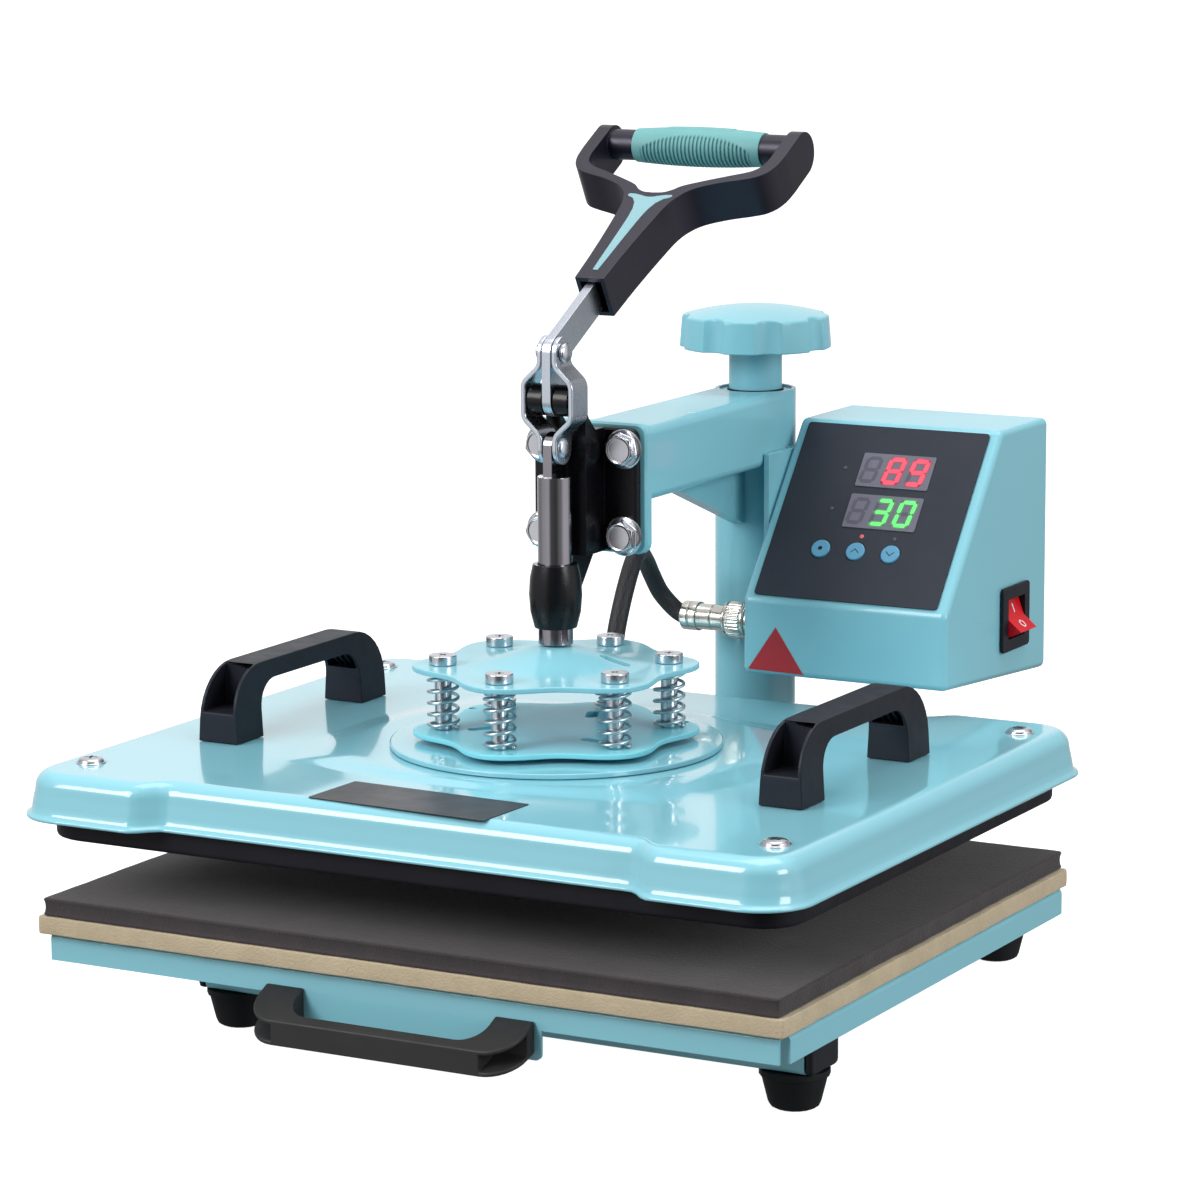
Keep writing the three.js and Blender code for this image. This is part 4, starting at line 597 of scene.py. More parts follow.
# Cover: pressed sheet with a flared lip, drafted wall, rolled shoulder and a low raised middle
cover = {
    "width": 396.0, "depth": 326.0, "bottom": 116.6, "corner": 25.0, "recess": 10.0, "recessHalf": 118.0,
    "recessBlend": 14.0, "lip": 2.2, "draft": 2.2, "round": 8.0, "wall": 1.2, "footInset": 65.2,
    "edgeInset": 74.98,
    # the rolled hem under the lip, as inset and height
    "hem": [(0.3, 0.05), (0, 0.4), (0, 1.1), (0.3, 1.6)], "lipLow": 2.1, "lipHigh": 3.2,
}


def coverRing(c, inset, oval=0.0, dipShare=1.0, arcSteps=14, edgeSteps=90):
    # rounded rectangle: corner arcs and edges in turn; the front and back edges step in by the recess
    # where |x| < recessHalf. oval pulls each point towards a circle of the shorter half size
    hx, hy = c["width"] / 2 - inset, c["depth"] / 2 - inset
    r = max(c["corner"] - inset, c["corner"] / 4)
    x = np.linspace(hx - r, r - hx, edgeSteps + 2)[1:-1]
    dip = dipShare * c["recess"] * (1 - smoothStep((np.abs(x) - c["recessHalf"]) / c["recessBlend"]))
    side = np.linspace(hy - r, r - hy, 26)[1:-1]
    flat = sidedBox(hx, hy, r, arcSteps, (np.c_[x, hy - dip], np.c_[0 * side - hx, side],
                                          np.c_[-x, dip - hy], np.c_[0 * side + hx, -side]))
    angle = np.arctan2(flat[:, 1] / hy, flat[:, 0] / hx)
    return flat + (min(hx, hy) * np.c_[np.cos(angle), np.sin(angle)] - flat) * oval


def makeCover(c):
    # the flat top runs straight from the shoulder ring to the oval foot of the crown,
    # then rises as a smooth step
    top, crown, low = press["coverTop"], press["crownTop"], c["bottom"]
    lip, thick, bend = c["lip"], c["wall"], c["round"]
    wall = lip + c["draft"]
    start = low + c["lipHigh"]
    shoulder = coverRing(c, wall + bend)
    foot, edge = coverRing(c, c["footInset"], 0.5, 0), coverRing(c, c["edgeInset"], 0.9, 0)
    inside = [(wall + bend, top - thick), (wall + thick, top - bend - thick), (lip + thick, low + 1.0),
              (thick, low + 0.05)]
    outside = [(inset, low + rise) for inset, rise in c["hem"]]
    outside += [(lip * 0.75, low + c["lipLow"]), (lip + 0.2, start)]
    outside += [(lip + c["draft"] * s, start + (top - bend - start) * s) for s in (0.35, 0.7)]
    outside += [(wall + rise, top - inset) for inset, rise in bendSteps(bend, 9)]
    rows = [level(edge, crown - thick), level(foot, top - thick)]
    rows += [level(coverRing(c, inset), z) for inset, z in inside + outside]
    rows += [level(shoulder + (foot - shoulder) * s, top) for s in (0.02, 0.2, 0.5, 0.8, 1)]
    for s in np.linspace(0.08, 1, 12):
        rows.append(level(foot + (edge - foot) * s, top + (crown - top) * float(smoothStep(s))))
    rows += [level(edge * s, crown) for s in (0.97, 0.6)]
    return surface("coverShell", np.array(rows) + (0, padY, 0))


carry(makeCover(cover), "head", glossPaint, ["cover"])
print("cover made")


# Pad and board: slabs with soft edges; the sponge's sides draw in a little
pad = {"half": (187.8, 150.3), "low": 69.65, "high": 77.95, "corner": 2.0, "round": 1.1, "waist": 0.8}
board = {"half": (190.0, 151.0), "low": 61.2, "high": 69.4, "corner": 1.5, "round": 0.5, "waist": -0.15}


def slabRing(s, inset, count=64):
    # rounded rectangle with many points along each side, so the edge can waver: inset + a small sine sum
    hx, hy = s["half"][0] - inset, s["half"][1] - inset
    r = max(s["corner"] - inset, 0.3)
    x, y = (np.linspace(half - r, r - half, count + 2)[1:-1] for half in (hx, hy))
    waver = 0.12 * (np.sin(x * 0.11) + np.sin(x * 0.043 + 1) + np.sin(x * 0.29))
    waverY = 0.12 * (np.sin(y * 0.10) + np.sin(y * 0.047 + 2) + np.sin(y * 0.31))
    return sidedBox(hx, hy, r, 6, (np.c_[x, hy + waver], np.c_[waverY - hx, y],
                                   np.c_[-x, waver - hy], np.c_[hx + waverY, -y]))


def slab(name, s):
    # rows of (inset, height); the wall draws in by waist (1 - t^2), where t runs up the wall
    low, high, out = s["low"], s["high"], 0.15
    mid, half = (low + high) / 2, (high - low) / 2
    lower = [(inset + out, low + rise) for inset, rise in bendSteps(s["round"], 5)]
    wall = [(out + s["waist"] * (1 - t * t), mid + half * 0.85 * t) for t in np.linspace(-0.8, 0.8, 5)]
    upper = [(inset, 2 * mid - z) for inset, z in reversed(lower)]
    rows = [(6.0, low)] + lower + wall + upper + [(inset, high) for inset in (3.0, 40.0, 90.0)]
    return surface(name, np.array([level(slabRing(s, inset), z) for inset, z in rows]) + (0, padY, 0))


padPiece = carry(slab("spongePad", pad), "drawer", padFoam, ["foam_pad"])
carry(slab("paleBackingBoard", board), "drawer", boardCore, ["backing_board"])
print("pad and board made")


# Springs: round wire, ends wound close and lying flat on the plates
spring = {"circle": 52.0, "radius": 6.8, "wire": 0.8, "low": 148.4, "high": 175.6, "turns": 5.75,
          "endShare": 0.13, "endPitch": 0.055}


def boltPlace(index, radius):
    # the six bolts and springs stand on a circle about the plunger, 60 degrees apart
    a = math.radians(30 + 60 * index)
    return radius * math.cos(a), radius * math.sin(a) + press["plungerY"]


def makeSpring(index, s):
    # helix: x = R cos a, y = R sin a, height rises slowly at both ends and evenly between
    t = np.linspace(0, 1, 200)
    e, p = s["endShare"], s["endPitch"]
    middle = p + (1 - 2 * p) * (t - e) / (1 - 2 * e)
    rise = np.where(t < e, p * t / e, np.where(t > 1 - e, 1 - p * (1 - t) / e, middle))
    a = t * s["turns"] * 2 * np.pi
    z = s["low"] + s["wire"] + rise * (s["high"] - s["low"] - 2 * s["wire"])
    centre = (*boltPlace(index, s["circle"]), 0)
    path = np.stack([s["radius"] * np.cos(a), s["radius"] * np.sin(a), z], -1) + centre
    obj = surface(f"springWire{index + 1}", ringAlong(path, s["wire"], 12, (0, 0, 1)))
    carry(obj, "head", springSteel, [f"spring_{index + 1}"])
    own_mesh(obj)


for index in range(6):
    makeSpring(index, spring)
print("springs made")


# Flange disc with its spacer, and the two lobed plates; slots are given by radius, angle and turn
disc = {"radius": 76.9, "low": 140.65, "thick": 2.5, "padRadius": 44.0, "padTop": 145.3}
plates = {"radius": 61.0, "lobe": 5.0, "thick": 2.6, "edge": 0.7, "domeRadius": 44.0, "boltHole": 4.3,
          "boltCircle": 52.0, "edgeHole": 2.0, "edgeCircle": 60.5, "slotRadius": 3.0, "slotReach": 4.5,
          "lowerSlots": [(34, -30, -5), (34, 90, 115), (34, 210, 235)], "upperSlots": [(28.6, 11, 6)]}
levels = {"lower": 145.55, "upper": 175.85, "dome": 9.2}


def makeDisc(d):
    low, top = d["low"], d["low"] + d["thick"]
    profile = rounded([(0.5, low), (d["radius"], low), (d["radius"], top), (d["padRadius"], top),
                       (d["padRadius"], d["padTop"]), (0.5, d["padTop"])], 0.7)
    return lathed("flangeDisc", profile, (0, press["plungerY"], 0), steps=144)


def plateCutter(u, low, boltHoles, slots):
    # slots near the middle, with round holes at the six lobes or small ones between them, as upright prisms
    ring = circle(28, 0.06)
    hole, hub, first, count = (u["boltHole"], u["boltCircle"], 30, 6) if boltHoles else \
        (u["edgeHole"], u["edgeCircle"], 40, 3)
    places = [math.radians(first + 360 / count * i) for i in range(count)]
    outlines = [ring * hole + (hub * math.cos(a), hub * math.sin(a)) for a in places]
    for radius, degrees, turnDegrees in slots:
        a = math.radians(degrees)
        slot = ring * u["slotRadius"] + u["slotReach"] * np.sign(ring[:, :1]) * (1, 0)
        place = (radius * math.cos(a), radius * math.sin(a))
        outlines.append(turned(slot, math.radians(turnDegrees)) + place)
    centre = (0, press["plungerY"])
    return [prism(f"cut{i}", outline + centre, low - 8, low + 20) for i, outline in enumerate(outlines)]


def makeLobedPlate(name, u, low, dome, boltHoles, slots):
    # radius 61 + 5 cos 6(t - 30); height + dome (1 - smoothstep(r / domeRadius))
    t = fullTurn(180)
    rim = u["radius"] + u["lobe"] * np.cos(6 * (t - math.radians(30)))
    top, bend = low + u["thick"], bendSteps(u["edge"], 4)
    inner = [s * u["domeRadius"] for s in np.linspace(0.02, 1, 16)]
    rows = [(r, low) for r in inner] + [(rim - inset, low + rise) for inset, rise in bend]
    rows += [(rim - rise, top - inset) for inset, rise in bend] + [(r, top) for r in inner[::-1]]
    lifted = [(r, z + dome * (1 - smoothStep(r / u["domeRadius"]))) for r, z in rows]
    plate = wound(name, lifted, t, (0, press["plungerY"], 0))
    return cutWith(plate, plateCutter(u, low, boltHoles, slots))


# Shoulder bolts: fat shanks from the lower plate through the upper, flat round head with a cross recess
shoulder = {"circle": 52.0, "shank": 3.9, "low": 148.15, "face": 178.6, "head": 6.4, "height": 4.4,
            "recess": 1.5, "crossReach": 2.1, "crossHalf": 0.5}


def makeShoulderBolt(index, s):
    x, y = boltPlace(index, s["circle"])
    face, top = s["face"], s["face"] + s["height"]
    profile = rounded([(0.05, s["low"]), (s["shank"], s["low"]), (s["shank"], face - 0.05),
                       (s["head"], face - 0.05), (s["head"], top), (0.05, top)], 0.6)
    obj = lathed(f"shoulderBolt{index + 1}", profile, (x, y, 0), steps=48)
    turnBy = math.radians(20 + 47 * index)
    cutWith(obj, [crossCutter(x, y, top - s["recess"], top + 4, s["crossReach"], s["crossHalf"], turnBy)])
    return carry(obj, "head", zinc)


carry(makeDisc(disc), "head", glossPaint, ["flange_disc"])
lowerPiece = makeLobedPlate("lowerPlate", plates, levels["lower"], 0, False, plates["lowerSlots"])
# the lower plate takes the lighter teal of painted light against the upper plate's shade
carry(lowerPiece, "head", paintedLightTeal, ["lower_flange_plate"])
upperPiece = makeLobedPlate("upperPlate", plates, levels["upper"], levels["dome"], True, plates["upperSlots"])
carry(upperPiece, "plunger", paint, ["upper_flange_plate"])
for index in range(6):
    makeShoulderBolt(index, shoulder)
print("head plates made")


# Hex bolts through the casting: round flange, chamfered hexagon with a dished top, plain shank
hexBolt = {"flat": 13.2, "height": 6.2, "shank": 3.9, "shankLength": 11.4, "face": 23.45,
           "flange": [(8.9, 0), (9.2, 0.3), (9.2, 1.0), (8.85, 1.35), (8.0, 1.6)],
           "fillet": 0.35, "filletHigh": 1.75, "flatsLow": 2.2, "cone": 1.3, "coneHigh": 0.75,
           "dish": [(0.8, 0.05), (1.1, 0.3), (1.5, 0.32)]}


def makeHexBolt(name, h, turnBy):
    # the hexagon's radius is flat / 2 / cos(angle from the nearest flat); a cone cuts its corners at the top.
    # rows are (radius, height over the casting's face)
    low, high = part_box(name)
    cx, cz = 500 * (low[0] + high[0]), 500 * (low[2] + high[2])
    t = fullTurn(96)
    hexagon = h["flat"] / 2 / np.cos(t % (np.pi / 3) - np.pi / 6)
    t = t + turnBy
    half, top, end = h["flat"] / 2, h["height"], -h["shankLength"]
    fillet = np.minimum(hexagon + h["fillet"], h["flange"][-1][0])
    rows = [(0.05, end), (h["shank"], end), (h["shank"], 0)] + h["flange"]
    rows += [(fillet, h["filletHigh"]), (hexagon, h["flatsLow"])]
    for s in np.linspace(0, 1, 5):
        rows.append((np.minimum(hexagon, half + 1.02 - h["cone"] * s), top - h["coneHigh"] * (1 - s)))
    rows += [(half - inset, top - drop) for inset, drop in h["dish"]] + [(0.05, top - h["dish"][-1][1])]
    head = wound(name + "Fine", rows, t, (cx, padY + h["face"], cz), "y")
    return carry(evenShade(head), "arm", zinc, [name])


for index, corner in enumerate(("upper_left", "upper_right", "lower_left", "lower_right")):
    makeHexBolt("hex_bolt_" + corner, hexBolt, 0.3 + 0.41 * index)
print("bolts made")


# Pressure knob: eight round grooves in a thick domed disc, on a neck and a screw, with a dark ring round
# the neck in the mouth of the column
knob = {"radius": 37.4, "low": 302.7, "rim": 318.8, "crown": 4.8, "draft": 1.1, "edge": 1.6, "foot": 0.8,
        "under": [(16, 0.6), (4, 0), (1.2, 0)], "grooves": 8, "grooveRadius": 8.0, "bite": 3.2,
        "phase": -8.0, "crest": 0.45, "neck": 13.2, "neckLow": 271.2, "neckHigh": 303.4, "screw": 5.2,
        "screwLow": 200.5, "threads": 92, "threadStep": 0.75, "threadDeep": 0.8,
        "darkRing": [(13.3, 281.3), (14.0, 281.3), (14.0, 282.35), (13.3, 282.35)]}


def knobRadiusAt(k, t):
    # a ray from the middle meets a groove circle at d cos a - sqrt(g g - d d sin sin a);
    # a soft minimum of that and the outer radius rounds the crest
    pitch = 2 * np.pi / k["grooves"]
    a = (t - math.radians(k["phase"]) + pitch / 2) % pitch - pitch / 2
    radius, g, soft = k["radius"], k["grooveRadius"], k["crest"]
    d = radius + g - k["bite"]
    inside = np.maximum(g ** 2 - (d * np.sin(a)) ** 2, 0)
    groove = np.where(np.abs(d * np.sin(a)) < g, d * np.cos(a) - np.sqrt(inside), radius + 6)
    return radius - soft * np.log(np.exp((radius - groove) / soft) + 1)


def makeKnob(k):
    # the dome's height over the rim is crown (1 - (radius / rim radius)^2), so the rim rises at each groove
    t = fullTurn(480)
    r = knobRadiusAt(k, t)
    low, edge, crown, draft = k["low"], k["edge"], k["crown"], k["draft"]
    last = np.pi / 2 - math.atan(2 * crown / k["radius"])
    bent = draft + edge * (1 - math.cos(last))
    inner = r - bent

    def rimAt(radius):
        return k["rim"] + crown * (1 - (radius / (k["radius"] - bent)) ** 2)

    rows = [(r - inset, low + rise) for inset, rise in k["under"] + bendSteps(k["foot"], 7)]
    for b in np.linspace(0, last, 8):
        rise = rimAt(inner) - edge * (math.sin(last) - math.sin(b))
        rows.append((r - draft - edge * (1 - math.cos(b)), rise))
    rows += [(inner * s, rimAt(inner * s)) for s in np.linspace(0.96, 0.04, 14)]
    return wound("pressureKnob", rows, t, (0, press["columnY"], 0))


def makeNeck(k):
    # the screw's thread is a saw line in even steps
    middle, neck, screw = (0, press["columnY"], 0), k["neck"], k["screw"]
    teeth = np.arange(k["threads"])
    outline = rounded([(0.5, k["neckLow"]), (neck, k["neckLow"]), (neck, k["neckHigh"]),
                       (neck + 1.4, k["neckHigh"] + 2.2), (0.5, k["neckHigh"] + 2.2)], 0.6)
    carry(lathed("knobNeck", outline, middle, steps=72), "knob", paint)
    thread = np.c_[screw + k["threadDeep"] * (teeth % 2), k["screwLow"] + 1 + k["threadStep"] * teeth]
    outline = [(0.5, k["screwLow"]), (screw, k["screwLow"]), *thread, (0.5, k["neckLow"] - 0.1)]
    carry(lathed("knobScrew", outline, middle, steps=36), "knob", zinc)
    # a thin black ring round the neck's foot, in the mouth of the column
    ring = lathed("neckDarkRing", k["darkRing"], middle, steps=72, caps=False)
    carry(ring, "arm", blackPlastic)


carry(makeKnob(knob), "knob", paint, ["pressure_knob"])
makeNeck(knob)
print("knob made")


# Grip sleeve: fine grooves in a lens-shaped field below and in front, a low plain panel on top
grip = {"along": 120.5, "rise": 1.5, "half": 34.0, "radius": 8.1, "swell": 1.35, "grooves": 28,
        "fieldHalf": 29.5, "deep": 0.95, "fieldMiddle": 200.0, "fieldSpan": 92.0, "fieldEdge": 9,
        "fieldEnd": 0.8, "grooveHalf": 0.3, "grooveSide": 0.12, "panelX": 18.0, "panelMiddle": 58.0,
        "panelSpan": 27.0, "panelEdge": 3, "panelEnd": 0.5, "panelRise": 0.35, "endRadius": 7.55}


def makeSleeve(g):
    # radius = base + swell (1 - (x/half)^2) - groove wave inside the field + a low step on the panel
    half = g["half"]
    x = np.linspace(-half, half, 640)[:, None]
    t = fullTurn(120)

    def degreesFrom(middle):
        return np.degrees(np.abs((t - math.radians(middle) + np.pi) % (2 * np.pi) - np.pi))

    span = g["fieldSpan"] * (1 - 0.5 * np.clip(np.abs(x) / g["fieldHalf"], 0, 1) ** 2.4)
    field = smoothStep((span - degreesFrom(g["fieldMiddle"])) / g["fieldEdge"])
    field = field * smoothStep((g["fieldHalf"] - np.abs(x)) / g["fieldEnd"])
    phase = (x / g["fieldHalf"] + 1) * g["grooves"] / 2
    groove = smoothStep((g["grooveHalf"] - np.abs(phase - np.round(phase))) / g["grooveSide"])
    step = smoothStep((g["panelSpan"] - degreesFrom(g["panelMiddle"])) / g["panelEdge"])
    step = step * smoothStep((g["panelX"] - np.abs(x)) / g["panelEnd"])
    r = g["radius"] + g["swell"] * (1 - (x / half) ** 2) - g["deep"] * groove * field + g["panelRise"] * step
    rows = [(g["endRadius"], -half), *zip(r, x), (g["endRadius"], half)]
    return ontoHandle(wound("gripSleeve", rows, t, (0, g["along"], g["rise"]), "x"))


carry(makeSleeve(grip), "lever", sleeveRubber, ["grip_sleeve"])

# Handle frame: smooth Y outline, arms rounded at their ends, the grip bar across, a mouth for the lever and a
# pale inlay, a narrow blade that spreads into two horns at the fork. Outlines are shares of half and length
handle = {
    "half": 54.5, "length": 131.0, "thick": 21.0, "edge": 1.5, "bar": 7.4, "barHalf": 49.0, "mouthWall": 2.2,
    "mouthDepth": 12.0, "slot": (2.7, 45.9, 7.9),
    "outer": [(0.139, -0.02), (0.156, 0.15), (0.193, 0.35), (0.222, 0.45), (0.262, 0.5), (0.35, 0.549),
              (0.55, 0.595), (0.76, 0.625), (0.87, 0.645), (0.94, 0.676), (0.985, 0.725), (1, 0.79)],
    "inner": [(0.872, 0.76), (0.85, 0.715), (0.79, 0.683), (0.6, 0.645), (0.4, 0.607), (0.22, 0.567),
              (0.17, 0.545), (0.1, 0.527), (0, 0.522)],
    # the inlay's right half and its two heights, in millimetres
    "inlay": [(1.3, 4.0), (1.8, 14), (2.2, 26), (2.7, 38), (3.2, 47), (4.0, 54), (5.6, 59.5), (8.2, 63),
              (11, 64.4), (11.8, 65.4), (11.2, 66.6), (8.0, 66.4), (4.6, 65.5), (2.2, 64.6)],
    "inlayEnd": (0, 64.3), "inlayLow": 9.9, "inlayHigh": 10.75,
}


def makeHandle(h):
    # splines through the outer and inner shares, joined by the arm's straight end and mirrored
    def curve(shares, count):
        flat = np.array(shares) * (h["half"], h["length"])
        return splineThrough(level(flat, 0), count)[0][:, :2]

    def box(half, y0, y1, high):
        return prism("cut", roundedBox(-half, half, y0, y1, 0.4), -high, high)

    tip = [(h["half"], h["length"]), (h["inner"][0][0] * h["half"], h["length"])]
    right = np.concatenate([curve(h["outer"], 60), tip, curve(h["inner"], 50)])
    left = (right * (-1, 1))[::-1][1:]
    high = h["thick"] / 2
    obj = prism("handleFrame", np.concatenate([right, left]), -high, high)
    q = np.linspace(-np.pi / 2, np.pi / 2, 25)
    end = h["length"] - high
    side = np.concatenate([[(-60, high), (-60, -high)], np.c_[end + high * np.cos(q), high * np.sin(q)]])
    wide = h["half"] + 3
    mask = placeMesh(prism("mask", side, -wide, wide), (0, 0, 0), (0, 1, 0), (0, 0, 1), (1, 0, 0))
    barLine = [(0.2, -h["barHalf"]), (h["bar"], -h["barHalf"]), (h["bar"], h["barHalf"]), (0.2, h["barHalf"])]
    bar = lathed("bar", barLine, (0, grip["along"], grip["rise"]), "x", 48)
    start = h["outer"][0][1] * h["length"]
    wall = h["mouthWall"]
    mouth = box(h["outer"][0][0] * h["half"] - wall, start - 3, start + h["mouthDepth"], high - wall)
    slot = box(h["slot"][0], start - 2, h["slot"][1], h["slot"][2])
    shapeWith(obj, (mask, "INTERSECT"), (bar, "UNION"), (mouth, "DIFFERENCE"), (slot, "DIFFERENCE"))
    addBevel(obj, h["edge"], 3)
    return ontoHandle(evenShade(obj))


def makeInlay(h):
    outline = h["inlay"] + [h["inlayEnd"]] + [(-x, u) for x, u in h["inlay"][::-1]]
    return ontoHandle(prism("handleInlay", outline, h["inlayLow"], h["inlayHigh"], 0.2))


carry(makeHandle(handle), "lever", handlePlastic, ["handle_frame"])
carry(makeInlay(handle), "lever", inlayPlastic)
print("handle made")


# Heater cable: woven sleeve from the connector up in a loop and down to the gland on the cover
cable = {
    "radius": 4.4, "weaveAlong": 0.45, "weaveRound": 9,
    "route": [(-19.6, 158, 173), (-22.6, 157.8, 174.6), (-26.2, 156.8, 178), (-29.8, 153.6, 184),
              (-30.8, 147, 193), (-29.6, 138, 202), (-26.2, 125, 208.6), (-22.8, 113, 206.6),
              (-21.4, 103, 196.5), (-21, 96, 185), (-20.8, 91, 174), (-20.2, 87.5, 162), (-19.4, 85, 151),
              (-19.2, 84.5, 140.8)],
    "gland": [(4.3, 140.55), (7.6, 140.55), (7.6, 141.8), (6.2, 141.8), (6.2, 144.2), (5.4, 145.6),
              (4.5, 146.2), (4.3, 146.2)],
}


def braidFinish(name):
    # two sets of slanted strands: |sin| of a sum and of a difference of the two sleeve coordinates
    f = Finish(name)
    f.set(Roughness=0.55, Specular_IOR_Level=0.4)
    uv = f.node("UVMap", uv_map="braid")
    split = f.node("SeparateXYZ")
    f.wire(uv.outputs["UV"], split.inputs["Vector"])
    x, y = split.outputs["X"], split.outputs["Y"]
    waves = [f.maths("ABSOLUTE", f.maths("SINE", f.maths(sign, x, y))) for sign in ("ADD", "SUBTRACT")]
    strands = f.maths("MULTIPLY", *waves)
    f.colours(strands, (0.0105, 0.0095, 0.0115), (0.020, 0.018, 0.021), 0.1, 0.8)
    f.bump(strands, 0.25, 0.0004)
    return f.material


def makeCable(c):
    # the route is given from the pad's middle; the sleeve's coordinates run along it and round it
    path, along = splineThrough(np.array(c["route"]) + (0, padY, 0), 260)
    sides = 32
    obj = surface("heaterCable", ringAlong(path, c["radius"], sides, (0.2, 0.9, 0.45)))
    mesh = obj.data
    corner = np.zeros(len(mesh.loops), np.int32)
    mesh.loops.foreach_get("vertex_index", corner)
    row, col = np.minimum(corner // sides, len(path) - 1), corner % sides
    face = np.repeat(np.arange(len(mesh.polygons)), [p.loop_total for p in mesh.polygons])
    wraps = np.bincount(face, weights=(col == sides - 1))[face] > 0
    col = np.where(wraps & (col == 0), sides, col)
    uv = np.stack([along[row] * c["weaveAlong"], col / sides * 2 * np.pi * c["weaveRound"]], -1)
    mesh.uv_layers.new(name="braid").data.foreach_set("uv", uv.astype(np.float32).ravel())
    return obj


heater = makeCable(cable)
heater.data.materials.append(braidFinish("braidedSleeve"))
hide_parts("heater_cable")
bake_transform(heater)

glandPlace = (cable["route"][-1][0], cable["route"][-1][1] + padY, 0)
glandPiece = lathed("cableGland", rounded(cable["gland"], 0.5), glandPlace, steps=48, caps=False)
carry(glandPiece, "head", blackPlastic)
print("cable made")


# Cable connector: flange, knurled nut, body and clamp along x; its outline of (radius, x) runs from the
# clamp to the flange
connector = {
    "y": 158.0, "z": 173.0, "knurls": 32, "knurlDeep": 0.32, "knurlFrom": 7.2, "knurlTo": 15.0,
    "outline": [(0.4, -18.8), (6.4, -18.8), (7.2, -18.0), (7.2, -14.5), (6.9, -14), (7.2, -13.5), (7.2, -9.8),
                (6.4, -9.8), (6.4, -2.3), (6.1, -1.9), (6.4, -1.5), (6.4, 5.2), (8.4, 5.2), (8.8, 5.8),
                (8.8, 6.6), (8.4, 7.0), (8.8, 7.4), (8.8, 14.8), (8.4, 15.2), (8.8, 15.6), (8.8, 16.4),
                (8.6, 17.2), (7.4, 17.2), (7.4, 21.4), (10.4, 21.4), (10.4, 23.75), (0.4, 23.75)],
}


def makeConnector(c):
    # the nut's radius carries a fine wave: deep (cos n t) on the nut's own length only
    t = fullTurn(160)
    wave = c["knurlDeep"] * np.cos(c["knurls"] * t)
    profile = rounded(c["outline"][::-1], 0.3, 3)[::-1]
    rows = [(r + wave * (c["knurlFrom"] < x < c["knurlTo"]), x) for r, x in profile]
    return wound("cableConnector", rows, t, (0, c["y"] + padY, c["z"]), "x")


carry(makeConnector(connector), "arm", nickel, ["cable_connector"])


# Link straps: bent strip about the ears, round at both pins, with a rivet head at the plunger's end
strap = {"inner": 3.8, "cage": 12.4, "thick": 2.4, "half": 7.4, "edge": 0.6, "topPin": 322.5, "lowPin": 278.5,
         "cageTop": 308.6, "cageLow": 292.4, "bendTop": 316.5, "bendLow": 284.5, "bend": 2.7,
         "headRadius": 4.6, "headRise": 1.7}


def makeStrap(side, s):
    # the middle line bends in x and z; half width is sqrt(half^2 - d^2) where d is the way past a pin
    inner, cage = s["inner"], s["cage"]
    line = rounded([(inner, s["topPin"]), (inner, s["bendTop"]), (cage, s["cageTop"]), (cage, s["cageLow"]),
                    (inner, s["bendLow"]), (inner, s["lowPin"])], s["bend"], 10)
    past = s["half"] * np.cos(np.linspace(0.06, np.pi / 2, 14)[:-1])
    ends = np.full_like(past, inner)
    line = np.concatenate([np.c_[ends, s["topPin"] + past], line, np.c_[ends, s["lowPin"] - past][::-1]])
    beyond = np.maximum(np.maximum(line[:, 1] - s["topPin"], s["lowPin"] - line[:, 1]), 0)
    tangent = np.gradient(line, axis=0)
    tangent /= np.linalg.norm(tangent, axis=1)[:, None]
    rows = []
    for (x, z), (tx, tz), wide in zip(line, tangent, np.sqrt(s["half"] ** 2 - beyond ** 2)):
        thin = s["thick"] / 2
        a, b = roundedBox(-thin, thin, -wide, wide, min(s["edge"], wide * 0.9)).T
        rows.append(np.c_[side * (x - a * tz), press["plungerY"] + side * b, z + a * tx])
    name = "Left" if side < 0 else "Right"
    obj = evenShade(surface("linkStrap" + name, np.array(rows)[::-1]))
    carry(obj, "links", barSteel, ["link_plate_" + name.lower()])
    face, wide, high = inner + s["thick"] / 2, s["headRadius"], s["headRise"] - 0.3
    dome = [(0.05, face - 0.5), (wide, face - 0.5)]
    dome += [(max(wide * math.cos(b), 0.05), face + 0.3 + high * math.sin(b)) for b in quarterTurn(7)]
    outline = dome if side > 0 else [(r, -h) for r, h in dome[::-1]]
    head = lathed("rivetHead" + name, outline, (0, press["plungerY"], s["lowPin"]), "x", 40)
    carry(head, "links", barSteel)


for side in (-1, 1):
    makeStrap(side, strap)
print("links made")


# Control box shell: the side outline drawn along x, all edges rounded, open at the back
box = {"left": 24.0, "width": 108.0, "round": 3.0, "wall": 2.0, "recess": 6.0, "keyHole": 5.3,
       "outline": [(137.0, 151.6), (256.6, 143.2), (256.6, 268.4), (201.0, 268.4), (137.0, 188.1)],
       "corners": [3.4, 3.4, 3.6, 5.0, 6.0], "window": (203.9, 226.7, 164.0, 186.8),
       "windowDeep": 12.0, "keyDeep": 6.0}


